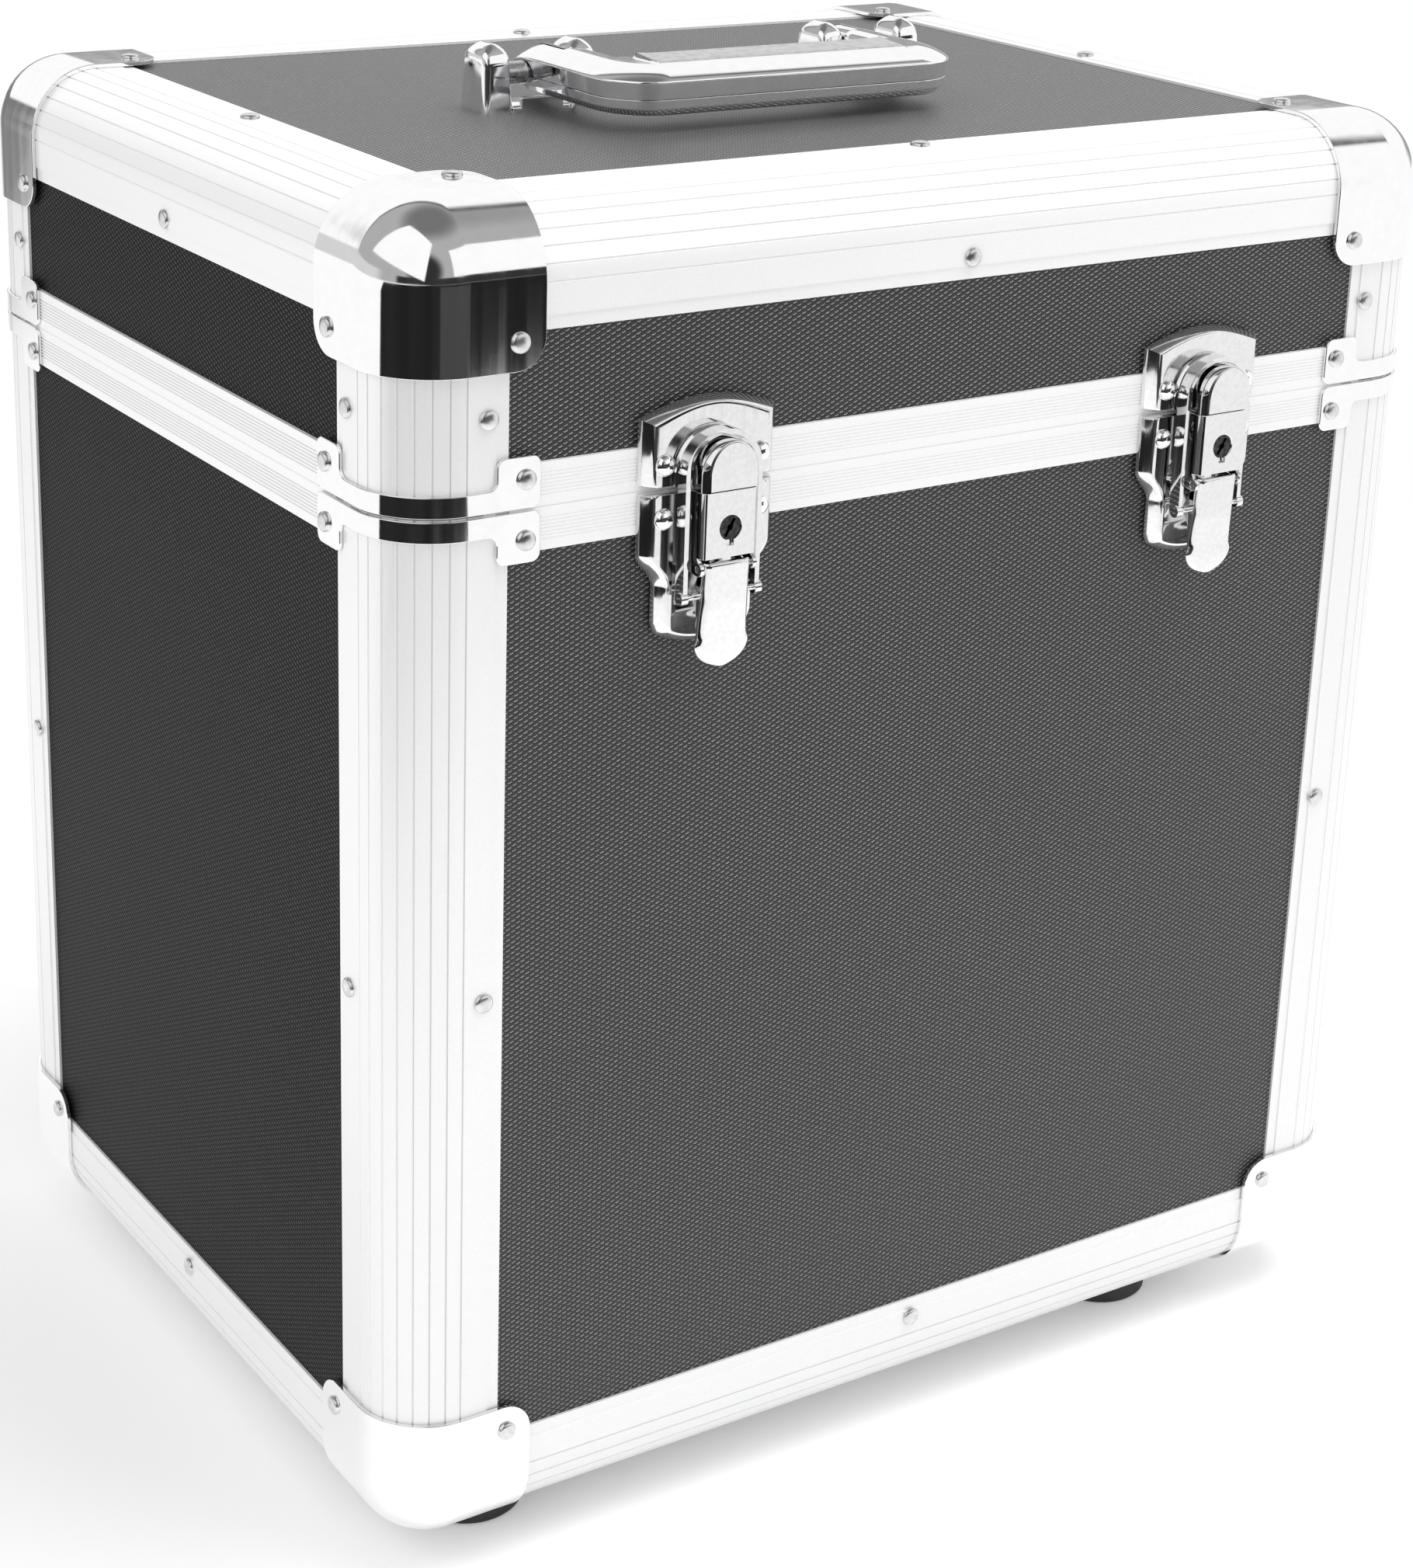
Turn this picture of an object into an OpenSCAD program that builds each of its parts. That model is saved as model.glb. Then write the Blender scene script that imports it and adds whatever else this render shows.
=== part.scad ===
// Record carrying case: laminated board panels held in grooved aluminium edge profiles,
// chrome corner caps and clamps, two key-lock draw latches, a folding top handle and a
// lid hinged at the back.  All sizes in millimetres.
// Frame: X to the right along the front, Y to the back, Z up, floor under the feet at Z = 0.

/* [Case] */
// outside width, left face to right face
case_w = 350; // [300:1:420]
// outside depth, front face to back face
case_d = 270; // [220:1:340]
// height of the lower body up to the parting line
body_h = 300.3; // [260:0.1:330]
// height of the lid above the parting line
lid_h = 77.3; // [70:0.1:120]
// gap between body and lid at the parting line
seam = 0.4; // [0.2:0.1:1]

/* [Panels] */
// thickness of the laminated board
panel_t = 6; // [4:0.5:9]
// play of the board in its slot
slot_fit = 0.1; // [0.05:0.05:0.3]
// how far a board edge reaches into a slot
slot_depth = 11; // [8:0.5:14]

/* [Edge profiles] */
// width of a profile flange from the outer face
flange = 32; // [26:0.5:40]
// outside rounding of a profile
edge_r = 20; // [15:0.5:24]
// thickness of the outer flange
skin = 1.2; // [0.8:0.1:2]
// width of the inner flange
inner_flange = 30.5; // [24:0.5:38]
// thickness of the inner flange
inner_t = 1.2; // [0.8:0.1:2]
// width of the thinner strip at the flange edge
lip_w = 3.7; // [2:0.1:6]
// step down to that strip
lip_step = 0.4; // [0.2:0.05:0.8]
// radius of the fine grooves on the rounding
groove_r = 0.3; // [0.15:0.05:0.6]
// number of those grooves
groove_n = 8; // [4:1:12]

/* [Closure] */
// height of the closure band on each side of the parting line
band_h = 11.4; // [8:0.1:16]
// tongue on the body's closure
tongue_h = 3; // [2:0.1:4]
// tongue thickness
tongue_t = 2; // [1:0.1:3]
// room round the tongue in the lid's groove
tongue_room = 1.5; // [1:0.1:2]
// number of fine ribs on a band
rib_n = 7; // [3:1:9]
// pitch of those ribs
rib_pitch = 0.95; // [0.7:0.05:1.4]
// radius of the groove beside each rib
rib_r = 0.22; // [0.1:0.02:0.4]

/* [Corner caps] */
// length of each leg of a corner cap
cap_leg = 41.5; // [38:0.5:50]
// sheet thickness of a cap
cap_t = 1.3; // [0.8:0.1:2]
// rounding of the free corner of each leg
cap_corner_r = 8.5; // [4:0.5:12]
// distance of a cap rivet from both outer faces
cap_rivet = 34; // [33:0.5:38]

/* [Corner clamps] */
// height of the strip round the corner
clamp_band = 5.6; // [4:0.1:8]
// height of the riveted tab
clamp_tab_h = 13.6; // [11:0.1:18]
// start of the tab from the side face
clamp_in = 28.1; // [26:0.1:32]
// width of the tab
clamp_tab_w = 12.6; // [10:0.1:16]
// sheet thickness
clamp_t = 1; // [0.6:0.1:1.6]
// corner rounding of the tab
clamp_r = 2.5; // [1:0.1:4]
// distance of the clamp edge from the parting edge
clamp_edge = 0.2; // [0.1:0.1:1]

/* [Rivets] */
// radius of a rivet head
rivet_r = 2.75; // [2:0.05:3.5]
// height of a rivet head
rivet_h = 1.3; // [0.8:0.1:2]
// radius of a latch rivet's head
latch_head_r = 2.9; // [2:0.05:3.2]
// height of a latch rivet's head
latch_head_h = 2; // [1:0.1:2.4]
// radius of a rivet shank
shank_r = 1.6; // [1.2:0.1:2]
// radius of the set end inside
tail_r = 2.3; // [2:0.1:3]
// height of the set end
tail_h = 1; // [0.6:0.1:1.5]
// radial play of a shank in its hole
hole_play = 0.1; // [0.05:0.05:0.3]
// distance of an edge rivet from the outer face
edge_rivet = 26; // [24:0.5:28]
// height of the side rivets above the bottom edge
body_rivet_z = 166; // [120:1:200]
// height of the lid's side rivets above the parting line
lid_rivet_z = 24.4; // [20:0.1:30]

/* [Latches] */
// distance of each latch from the middle of the case
latch_x = 84.6; // [60:0.1:110]
// width of the latch plates
plate_w = 41.5; // [36:0.5:48]
// width of the lower plate's foot
foot_w = 31.5; // [26:0.5:36]
// how far the plates stand off the band
plate_rise = 4; // [3:0.1:5]
// sheet thickness of the plates
plate_t = 1; // [0.7:0.1:1.4]
// depth of the lower plate below the parting line
plate_low = 43.3; // [38:0.1:50]
// height of the upper plate above the lid edge
plate_high = 23.6; // [20:0.1:28]
// rivet distance from the latch middle
latch_rivet_x = 14.8; // [13:0.1:17]
// rivet distance from the parting line
latch_rivet_z = 7.2; // [6:0.1:9]
// width of the lock housing at its foot
lock_w = 17.4; // [15:0.1:18]
// width of the lock housing's face
lock_face_w = 15; // [12:0.1:16]
// depth of the lock housing in front of the band
lock_rise = 13.2; // [11:0.1:16]
// thickness of the lock housing's face
lock_face_t = 2.2; // [1.6:0.1:2.6]
// bottom of the lock housing below the parting line
lock_low = 16.9; // [14:0.1:20]
// height of the key plug below the parting line
key_z = 9; // [7:0.1:12]
// radius of the key plug
plug_r = 3.4; // [2:0.1:4]
// radius of the catch under the bail
catch_r = 8.8; // [7:0.1:10]
// middle of the catch's round above the parting line
catch_z = 5.7; // [5:0.1:10]
// front of the catch in front of the band
catch_rise = 14; // [12:0.1:16]
// middle of the bail's bow and of the dome above the parting line
bow_z = 4.7; // [4:0.1:6]
// radius of the pressed dome behind the catch
dome_r = 11.9; // [11:0.1:12]

/* [Lever and bail] */
// lever axis below the parting line
lever_z = 19.8; // [17:0.1:22]
// radius of the lever's rolled knuckle
knuckle_r = 2; // [1.6:0.1:2.6]
// radius of the lever pin
lever_pin_r = 0.9; // [0.7:0.05:1.2]
// reach of the lever's sheet above its pin
lever_up = 1.6; // [0:0.1:1.7]
// running clearance of pins and stubs
pin_play = 0.06; // [0.02:0.01:0.1]
// side gap beside moving pieces
side_gap = 0.3; // [0.2:0.05:0.6]
// thickness of the lug on each side of the knuckle
lug_t = 1.1; // [0.8:0.1:1.5]
// bottom of the lever below the parting line
lever_low = 47.5; // [42:0.1:54]
// half width of the lever's tongue
tongue_half = 8.6; // [7.5:0.1:8.8]
// sheet thickness of the lever
lever_t = 1.2; // [0.8:0.1:1.6]
// bail axis below the parting line
bail_z = 28; // [25:0.1:31]
// bail axis in front of the band
bail_p = 8.6; // [8:0.1:10]
// thickness of the bail's flat strip
bail_t = 1.4; // [1:0.1:2]
// depth of that strip
bail_deep = 3.9; // [3:0.1:4.2]
// back of the strip in front of the band
bail_back = 5.8; // [5.7:0.1:6.5]
// radius of the stubs at the bail's ends
stub_r = 0.9; // [0.7:0.05:1.1]
// room between the bail and the side of the catch
bail_gap = 1.65; // [1.5:0.05:2]

/* [Handle] */
// handle middle, off the middle of the case as in the photograph
handle_x = -6.8; // [-20:0.1:20]
// handle axis behind (+) or in front (-) of the middle
handle_y = -8; // [-20:0.1:20]
// handle axis above the panel
handle_z = 10; // [9:0.1:12]
// half width of the grip
grip_half = 60; // [50:0.5:75]
// reach of the grip in front of the axis
grip_reach = 53.5; // [45:0.5:65]
// depth of the grip, front to back
grip_depth = 22; // [18:0.5:28]
// width of an arm
arm_w = 15; // [12:0.5:18]
// rounding of the outer corners
grip_r = 16; // [10:0.5:22]
// underside of the handle above the panel
grip_low = 4.6; // [4:0.1:7]
// seam between the two shells above the panel
grip_seam = 9.4; // [8:0.1:11]
// top of the upright side above the panel
grip_side = 14.4; // [13:0.1:16]
// top of the arms above the panel
arm_top = 17.8; // [17:0.1:19]
// top of the grip above the panel
grip_top = 19.6; // [19:0.1:22]
// shoulder width between side and top
shoulder = 7; // [4:0.5:9]
// bracket ear, across, front to back and high
ear_w = 10; // [8:0.5:12]
// ear front to back at the foot
ear_d = 15.4; // [13:0.1:18]
// ear height
ear_h = 19.9; // [19:0.1:24]
// middle of each arm pocket from the handle middle
pocket_x = 58; // [50:0.5:70]
// clear width between two ears
pocket_w = 18.2; // [16:0.1:22]
// bracket screws behind the handle axis
bracket_screw_y = 3.5; // [2:0.1:4]
// how far a bracket screw reaches into its ear
bracket_screw_up = 5; // [3:0.1:8]
// height of a bracket screw's head inside the lid
bracket_head_h = 2.2; // [1.5:0.1:3]
// thickness of the bracket's floor plate
bracket_t = 1.5; // [1:0.1:2]
// radius of the handle pins
handle_pin_r = 2; // [1.5:0.1:3]

/* [Hinges] */
// distance of each rear hinge from the middle
hinge_x = 95; // [70:1:120]
// length of a hinge along its pin
hinge_w = 40; // [30:1:60]
// hinge axis behind the back face
hinge_off = 3.3; // [3:0.1:5]
// radius of the hinge knuckles
hinge_r = 2.9; // [2.4:0.1:4]
// radius of the hinge pin
hinge_pin_r = 1.2; // [1:0.1:1.6]
// leaf thickness
leaf_t = 1.5; // [1:0.1:2]
// leaf height from the axis
leaf_h = 22; // [18:1:30]
// hinge rivets from the middle of the hinge
hinge_rivet_x = 14; // [10:0.5:24]
// hinge rivets in the closure band, from the axis
hinge_near = 6.2; // [5:0.1:8]
// hinge rivets in the board, from the axis
hinge_far = 17; // [15:0.5:20]

/* [Feet and pads] */
// height of the rubber feet
foot_h = 10; // [6:0.5:15]
// diameter of the rubber feet
foot_d = 32.4; // [24:0.2:40]
// left feet in from the left face
foot_left_in = 41.5; // [40:0.5:80]
// right feet in from the right face, set further in as in the photograph
foot_right_in = 71; // [40:0.5:90]
// feet in from the front and back faces
foot_edge_in = 34.5; // [34:0.5:35]
// radius of a foot screw
screw_r = 2; // [1.5:0.1:3]
// thickness of the foam pads in base and lid
pad_t = 6; // [4:0.5:10]
// distance of the pads from the outer faces
pad_in = 39; // [38:0.5:60]

/* [Hidden] */
$fn = 48;

frame_y = (catch_rise - hinge_off - hinge_r) / 2;
half_w = case_w / 2;
half_d = case_d / 2;
z_base = foot_h;
z_part = foot_h + body_h;
z_lid = z_part + seam;
z_mid = z_part + seam / 2;
z_top = z_lid + lid_h;
wall = skin + panel_t + slot_fit + inner_t;
board_in = skin + panel_t;
slot_u = flange - slot_depth;
board_u = slot_u + slot_fit * 2;
seat = 0.05;
mitre_gap = 0.05;
tongue_v = (wall - tongue_t) / 2;
web_body = 2;
web_lid = tongue_h + 2;
rivet_hole = shank_r + hole_play;
mid_u = half_w - edge_rivet;
mid_v = half_d - edge_rivet;
clamp_rivet = clamp_in + clamp_tab_w * 0.66;
clamp_rivet_z = clamp_edge + clamp_tab_h - 6;
deck = z_top - skin;
lug_in = lock_w / 2 - lug_t;
knuckle_half = lug_in - side_gap;
bail_in = catch_r + bail_gap;
bail_out = bail_in + bail_t;
knuckle_p = lock_rise - knuckle_r;
cheek_out = knuckle_half;
ear_in = pocket_x - pocket_w / 2;
ear_out = pocket_x + pocket_w / 2;
arm_in = grip_half - arm_w;
arm_half = (pocket_w - side_gap * 2) / 2;
handle_span = grip_half * 2 + ear_out;

// ---------- placing helpers ----------

// the case is drawn about its own middle, then set so that the whole outline, latches and
// hinges with it, is centred on the origin
module in_frame() {
  translate([0, frame_y, 0]) children();
}

// repeats a piece drawn at the front left to all four upright corners
module four_corners() {
  for (sx = [0, 1], sy = [0, 1])
    mirror_if(sx == 1, [1, 0, 0]) mirror_if(sy == 1, [0, 1, 0]) children();
}

module mirror_if(on, axis) {
  if (on) mirror(axis) children();
  if (!on) children();
}

module left_right() {
  for (s = [0, 1]) mirror_if(s == 1, [1, 0, 0]) children();
}

module front_back() {
  for (s = [0, 1]) mirror_if(s == 1, [0, 1, 0]) children();
}

// turns a piece of the bottom edge into the same piece of the top edge
module at_top() {
  translate([0, 0, z_base + z_top]) mirror([0, 0, 1]) children();
}

// children drawn as x, height, depth outward from the front face at height z
module on_front(x, z) {
  translate([x, -half_d, z]) rotate([90, 0, 0]) children();
}

// children drawn as y, height, depth outward from the left face
module on_left(y, z) {
  translate([-half_w, y, z]) rotate([90, 0, -90]) children();
}

// children drawn with depth outward from the bottom face
module on_bottom(x, y) {
  translate([x, y, z_base]) mirror([0, 0, 1]) children();
}

// ---------- rivets ----------

// dome head seated at depth 0, shank through the grip, set end inside
module rivet(grip, r = rivet_r, h = rivet_h) {
  ball = (r * r + h * h) / (2 * h);
  rotate_extrude($fn = 32) union() {
    intersection() {
      translate([0, h - ball]) circle(r = ball, $fn = 96);
      square([r, h]);
    }
    translate([0, -grip]) square([shank_r, grip]);
    translate([0, -grip - tail_h]) square([tail_r, tail_h]);
  }
}

module rivet_cut() {
  translate([0, 0, -wall - 2]) cylinder(r = rivet_hole, h = wall + 12);
}

// rivets at the middle of the upright edges of the body
module body_side_rivets() {
  four_corners() {
    on_front(-mid_u, z_base + body_rivet_z) children();
    on_left(-mid_v, z_base + body_rivet_z) children();
  }
}

// rivets at the middle of the bottom edges, on the sides and underneath
module bottom_edge_rivets() {
  front_back() on_front(0, z_base + edge_rivet) children();
  left_right() on_left(0, z_base + edge_rivet) children();
  front_back() on_bottom(0, -mid_v) children();
  left_right() on_bottom(-mid_u, 0) children();
}

// three rivets of each bottom cap
module cap_rivets() {
  four_corners() {
    on_front(-half_w + cap_rivet, z_base + cap_rivet) children();
    on_left(-half_d + cap_rivet, z_base + cap_rivet) children();
    on_bottom(-half_w + cap_rivet, -half_d + cap_rivet) children();
  }
}

module lower_clamp_rivets() {
  four_corners() {
    on_front(-half_w + clamp_rivet, z_part - clamp_rivet_z) children();
    on_left(-half_d + clamp_rivet, z_part - clamp_rivet_z) children();
  }
}

module upper_clamp_rivets() {
  four_corners() {
    on_front(-half_w + clamp_rivet, z_lid + clamp_rivet_z) children();
    on_left(-half_d + clamp_rivet, z_lid + clamp_rivet_z) children();
  }
}

module lid_side_rivets() {
  four_corners() {
    on_front(-mid_u, z_mid + lid_rivet_z) children();
    on_left(-mid_v, z_mid + lid_rivet_z) children();
  }
}

// rivets of a hinge leaf, in rows at the given distances from the hinge axis
module hinge_rivets(up, rows) {
  left_right() for (dx = [-1, 1], dz = rows) mirror([0, 1, 0])
    on_front(-hinge_x + dx * hinge_rivet_x, z_mid + (up ? dz : -dz)) children();
}

module hinge_rivet_set(up) {
  hinge_rivets(up, [hinge_near]) translate([0, 0, leaf_t]) rivet(wall + leaf_t);
  hinge_rivets(up, [hinge_far]) translate([0, 0, leaf_t]) rivet(board_in + leaf_t);
}

module latch_rivets(up) {
  for (s = [-1, 1], dx = [-1, 1])
    on_front(s * latch_x + dx * latch_rivet_x, z_mid + (up ? 1 : -1) * latch_rivet_z)
      children();
}

// ---------- panels ----------

// upright board for the front (across = width) or the side (across = depth)
module board(across, z0, z1) {
  translate([-across / 2 + board_u, skin, z0])
    cube([across - board_u * 2, panel_t, z1 - z0]);
}

module body_board_front() {
  translate([0, -half_d, 0]) board(case_w, z_base + board_u, z_part - web_body - slot_fit);
}

module body_board_side() {
  translate([-half_w, 0, 0]) rotate([0, 0, -90])
    board(case_d, z_base + board_u, z_part - web_body - slot_fit);
}

module body_front_panel() {
  color([0.2, 0.2, 0.2]) in_frame() difference() {
    body_board_front();
    body_side_rivets() rivet_cut();
    bottom_edge_rivets() rivet_cut();
    cap_rivets() rivet_cut();
    lower_clamp_rivets() rivet_cut();
    latch_rivets(false) rivet_cut();
  }
}

module body_rear_panel() {
  color([0.2, 0.2, 0.2]) in_frame() difference() {
    mirror([0, 1, 0]) body_board_front();
    body_side_rivets() rivet_cut();
    bottom_edge_rivets() rivet_cut();
    cap_rivets() rivet_cut();
    lower_clamp_rivets() rivet_cut();
    hinge_rivets(false, [hinge_near, hinge_far]) rivet_cut();
  }
}

module body_side(s) {
  color([0.2, 0.2, 0.2]) in_frame() difference() {
    mirror_if(s > 0, [1, 0, 0]) body_board_side();
    body_side_rivets() rivet_cut();
    bottom_edge_rivets() rivet_cut();
    cap_rivets() rivet_cut();
    lower_clamp_rivets() rivet_cut();
  }
}

module body_left_panel() { body_side(-1); }
module body_right_panel() { body_side(1); }

module body_bottom_panel() {
  color([0.2, 0.2, 0.2]) in_frame() difference() {
    translate([-half_w + board_u, -half_d + board_u, z_base + skin])
      cube([case_w - board_u * 2, case_d - board_u * 2, panel_t]);
    bottom_edge_rivets() rivet_cut();
    cap_rivets() rivet_cut();
    feet_at() screw_cut();
  }
}

module lid_board_front() {
  translate([0, -half_d, 0]) board(case_w, z_lid + web_lid + slot_fit, z_top - board_u);
}

module lid_board_side() {
  translate([-half_w, 0, 0]) rotate([0, 0, -90])
    board(case_d, z_lid + web_lid + slot_fit, z_top - board_u);
}

module lid_front_panel() {
  color([0.2, 0.2, 0.2]) in_frame() difference() {
    lid_board_front();
    lid_side_rivets() rivet_cut();
    at_top() bottom_edge_rivets() rivet_cut();
    at_top() cap_rivets() rivet_cut();
    upper_clamp_rivets() rivet_cut();
    latch_rivets(true) rivet_cut();
  }
}

module lid_rear_panel() {
  color([0.2, 0.2, 0.2]) in_frame() difference() {
    mirror([0, 1, 0]) lid_board_front();
    lid_side_rivets() rivet_cut();
    at_top() bottom_edge_rivets() rivet_cut();
    at_top() cap_rivets() rivet_cut();
    upper_clamp_rivets() rivet_cut();
    hinge_rivets(true, [hinge_near, hinge_far]) rivet_cut();
  }
}

module lid_side(s) {
  color([0.2, 0.2, 0.2]) in_frame() difference() {
    mirror_if(s > 0, [1, 0, 0]) lid_board_side();
    lid_side_rivets() rivet_cut();
    at_top() bottom_edge_rivets() rivet_cut();
    at_top() cap_rivets() rivet_cut();
    upper_clamp_rivets() rivet_cut();
  }
}

module lid_left_panel() { lid_side(-1); }
module lid_right_panel() { lid_side(1); }

module lid_top_panel() {
  color([0.2, 0.2, 0.2]) in_frame() difference() {
    translate([-half_w + board_u, -half_d + board_u, deck - panel_t])
      cube([case_w - board_u * 2, case_d - board_u * 2, panel_t]);
    at_top() bottom_edge_rivets() rivet_cut();
    at_top() cap_rivets() rivet_cut();
    bracket_screws_at() translate([0, 0, -panel_t - 1])
      cylinder(r = screw_r + hole_play, h = panel_t + 2);
  }
}

// ---------- edge profiles ----------

// section of an edge profile, u and v are the distances from its two outer faces:
// grooved rounding, two flanges, slots for the boards and a hollow corner chamber
module edge_section() {
  difference() {
    intersection() {
      square(flange);
      union() {
        translate([edge_r, edge_r]) circle(r = edge_r, $fn = 96);
        translate([edge_r, 0]) square([flange, flange]);
        translate([0, edge_r]) square([flange, flange]);
      }
    }
    translate([wall, wall]) square(flange);
    translate([inner_flange, skin]) square(flange);
    translate([skin, inner_flange]) square(flange);
    translate([slot_u, skin]) square([flange, panel_t + slot_fit]);
    translate([skin, slot_u]) square([panel_t + slot_fit, flange]);
    translate([flange - lip_w, -1]) square([flange, 1 + lip_step]);
    translate([-1, flange - lip_w]) square([1 + lip_step, flange]);
    chamber();
    for (k = [0:groove_n - 1])
      translate([edge_r - edge_r * cos(k * 90 / (groove_n - 1)),
                 edge_r - edge_r * sin(k * 90 / (groove_n - 1))])
        circle(r = groove_r, $fn = 16);
  }
}

module chamber() {
  difference() {
    intersection() {
      translate([edge_r, edge_r]) circle(r = edge_r - skin - 0.2, $fn = 96);
      square(edge_r - 0.6);
    }
    translate([wall - inner_t, wall - inner_t]) square(flange);
  }
}

// one length of profile; its first end is mitred against the other two edges of the corner
module profile_run(length, both) {
  difference() {
    translate([0, 0, edge_r + mitre_gap])
      linear_extrude(length - (edge_r + mitre_gap) * (both ? 2 : 1)) edge_section();
    mitre();
    if (both) translate([0, 0, length]) mirror([0, 0, 1]) mitre();
  }
}

module mitre() {
  reach = flange + 2;
  translate([0, reach, 0]) rotate([90, 0, 0]) linear_extrude(reach + 1)
    polygon([[0, -1], [reach, -1], [reach, reach + mitre_gap], [0, mitre_gap]]);
  rotate([90, 0, 90]) translate([0, 0, -1]) linear_extrude(reach + 1)
    polygon([[0, -1], [reach, -1], [reach, reach + mitre_gap], [0, mitre_gap]]);
}

module body_corner_profiles() {
  color([0.85, 0.85, 0.85]) in_frame() difference() {
    four_corners() translate([-half_w, -half_d, z_base]) profile_run(body_h, false);
    body_side_rivets() rivet_cut();
  }
}

module lid_corner_profiles() {
  color([0.85, 0.85, 0.85]) in_frame() difference() {
    at_top() four_corners() translate([-half_w, -half_d, z_base])
      profile_run(z_top - z_lid, false);
    lid_side_rivets() rivet_cut();
  }
}

module bottom_edges() {
  front_back() translate([-half_w, -half_d, z_base]) rotate([90, 0, 90])
    profile_run(case_w, true);
  left_right() translate([-half_w, -half_d, z_base]) rotate([-90, 0, 0]) rotate([0, 0, -90])
    profile_run(case_d, true);
}

module bottom_edge_profiles() {
  color([0.85, 0.85, 0.85]) in_frame() difference() {
    bottom_edges();
    bottom_edge_rivets() rivet_cut();
  }
}

module top_edge_profiles() {
  color([0.85, 0.85, 0.85]) in_frame() at_top() difference() {
    bottom_edges();
    bottom_edge_rivets() rivet_cut();
  }
}

// ---------- closure profiles ----------

// section of the band that ends a wall at the parting line, v from the outer face and
// height away from the parting edge; the body's has a tongue, the lid's a groove for it
module closure_section(tongue) {
  web = tongue ? web_body : web_lid;
  difference() {
    union() {
      square([wall, band_h]);
      if (tongue) translate([tongue_v, -tongue_h]) square([tongue_t, tongue_h + 1]);
    }
    translate([skin, web]) square([panel_t + slot_fit, band_h]);
    for (k = [0:rib_n - 1])
      translate([0, band_h / 2 + (k - (rib_n - 1) / 2) * rib_pitch])
        circle(r = rib_r, $fn = 16);
    if (!tongue) translate([tongue_v - tongue_room, -1])
      square([tongue_t + tongue_room * 2, 1 + tongue_h - seam + 0.5]);
  }
}

module closure_ring(tongue) {
  gap = flange + slot_fit;
  front_back() translate([-half_w + gap, -half_d, 0]) rotate([90, 0, 90])
    linear_extrude(case_w - gap * 2) closure_section(tongue);
  left_right() translate([-half_w, half_d - gap, 0]) rotate([90, 0, 0])
    linear_extrude(case_d - gap * 2) closure_section(tongue);
}

module body_closure_profiles() {
  color([0.9, 0.9, 0.9]) in_frame() difference() {
    translate([0, 0, z_part]) mirror([0, 0, 1]) closure_ring(true);
    lower_clamp_rivets() rivet_cut();
    latch_rivets(false) rivet_cut();
    hinge_rivets(false, [hinge_near, hinge_far]) rivet_cut();
  }
}

module lid_closure_profiles() {
  color([0.9, 0.9, 0.9]) in_frame() difference() {
    translate([0, 0, z_lid]) closure_ring(false);
    upper_clamp_rivets() rivet_cut();
    latch_rivets(true) rivet_cut();
    hinge_rivets(true, [hinge_near, hinge_far]) rivet_cut();
  }
}

// ---------- corner caps and clamps ----------

module sheet_arc(t) {
  intersection() {
    difference() {
      circle(r = edge_r + seat + t, $fn = 96);
      circle(r = edge_r + seat, $fn = 96);
    }
    translate([-edge_r * 2, -edge_r * 2]) square(edge_r * 2);
  }
}

module cap_plate() {
  free = cap_leg - edge_r;
  translate([edge_r, edge_r, -seat - cap_t]) linear_extrude(cap_t) union() {
    square([free, free - cap_corner_r]);
    square([free - cap_corner_r, free]);
    translate([free - cap_corner_r, free - cap_corner_r]) circle(r = cap_corner_r);
  }
}

module cap_edge() {
  translate([edge_r, edge_r, edge_r]) linear_extrude(cap_leg - edge_r) sheet_arc(cap_t);
}

// three plates, three quarter rolls and one ball corner of the same sheet
module corner_cap() {
  cap_plate();
  rotate([90, 0, 90]) cap_plate();
  rotate([-90, 0, 0]) rotate([0, 0, -90]) cap_plate();
  cap_edge();
  rotate([90, 0, 90]) cap_edge();
  rotate([-90, 0, 0]) rotate([0, 0, -90]) cap_edge();
  translate([edge_r, edge_r, edge_r]) rotate([0, 180, 0]) rotate([0, 0, -90])
    rotate_extrude(angle = 90, $fn = 96) intersection() {
      difference() {
        circle(r = edge_r + seat + cap_t, $fn = 96);
        circle(r = edge_r + seat, $fn = 96);
      }
      square(edge_r * 2);
    }
}

module cap_set() {
  difference() {
    four_corners() translate([-half_w, -half_d, z_base]) corner_cap();
    cap_rivets() rivet_cut();
  }
}

module bottom_corner_caps() {
  color([0.8, 0.8, 0.82]) in_frame() difference() {
    cap_set();
    feet_at() screw_cut();
  }
}

module top_corner_caps() {
  color([0.8, 0.8, 0.82]) in_frame() at_top() cap_set();
}

// flat half of a clamp, x from the corner and height from the parting edge
module clamp_face() {
  r = clamp_r;
  end = clamp_in + clamp_tab_w;
  top = clamp_edge + clamp_tab_h;
  translate([edge_r, clamp_edge]) square([end - edge_r - r, clamp_band]);
  translate([clamp_in, clamp_edge]) square([clamp_tab_w - r, clamp_tab_h - r]);
  translate([clamp_in + r, clamp_edge + r]) square([clamp_tab_w - r, clamp_tab_h - r * 2]);
  translate([clamp_in + r, clamp_edge + r])
    square([clamp_tab_w - r * 2, clamp_tab_h - r]);
  translate([clamp_in + r, top - r]) circle(r = r);
  translate([end - r, top - r]) circle(r = r);
  translate([end - r, clamp_edge + r]) circle(r = r);
  difference() {
    translate([clamp_in - r, clamp_edge + clamp_band]) square(r);
    translate([clamp_in - r, clamp_edge + clamp_band + r]) circle(r = r);
  }
}

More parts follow.
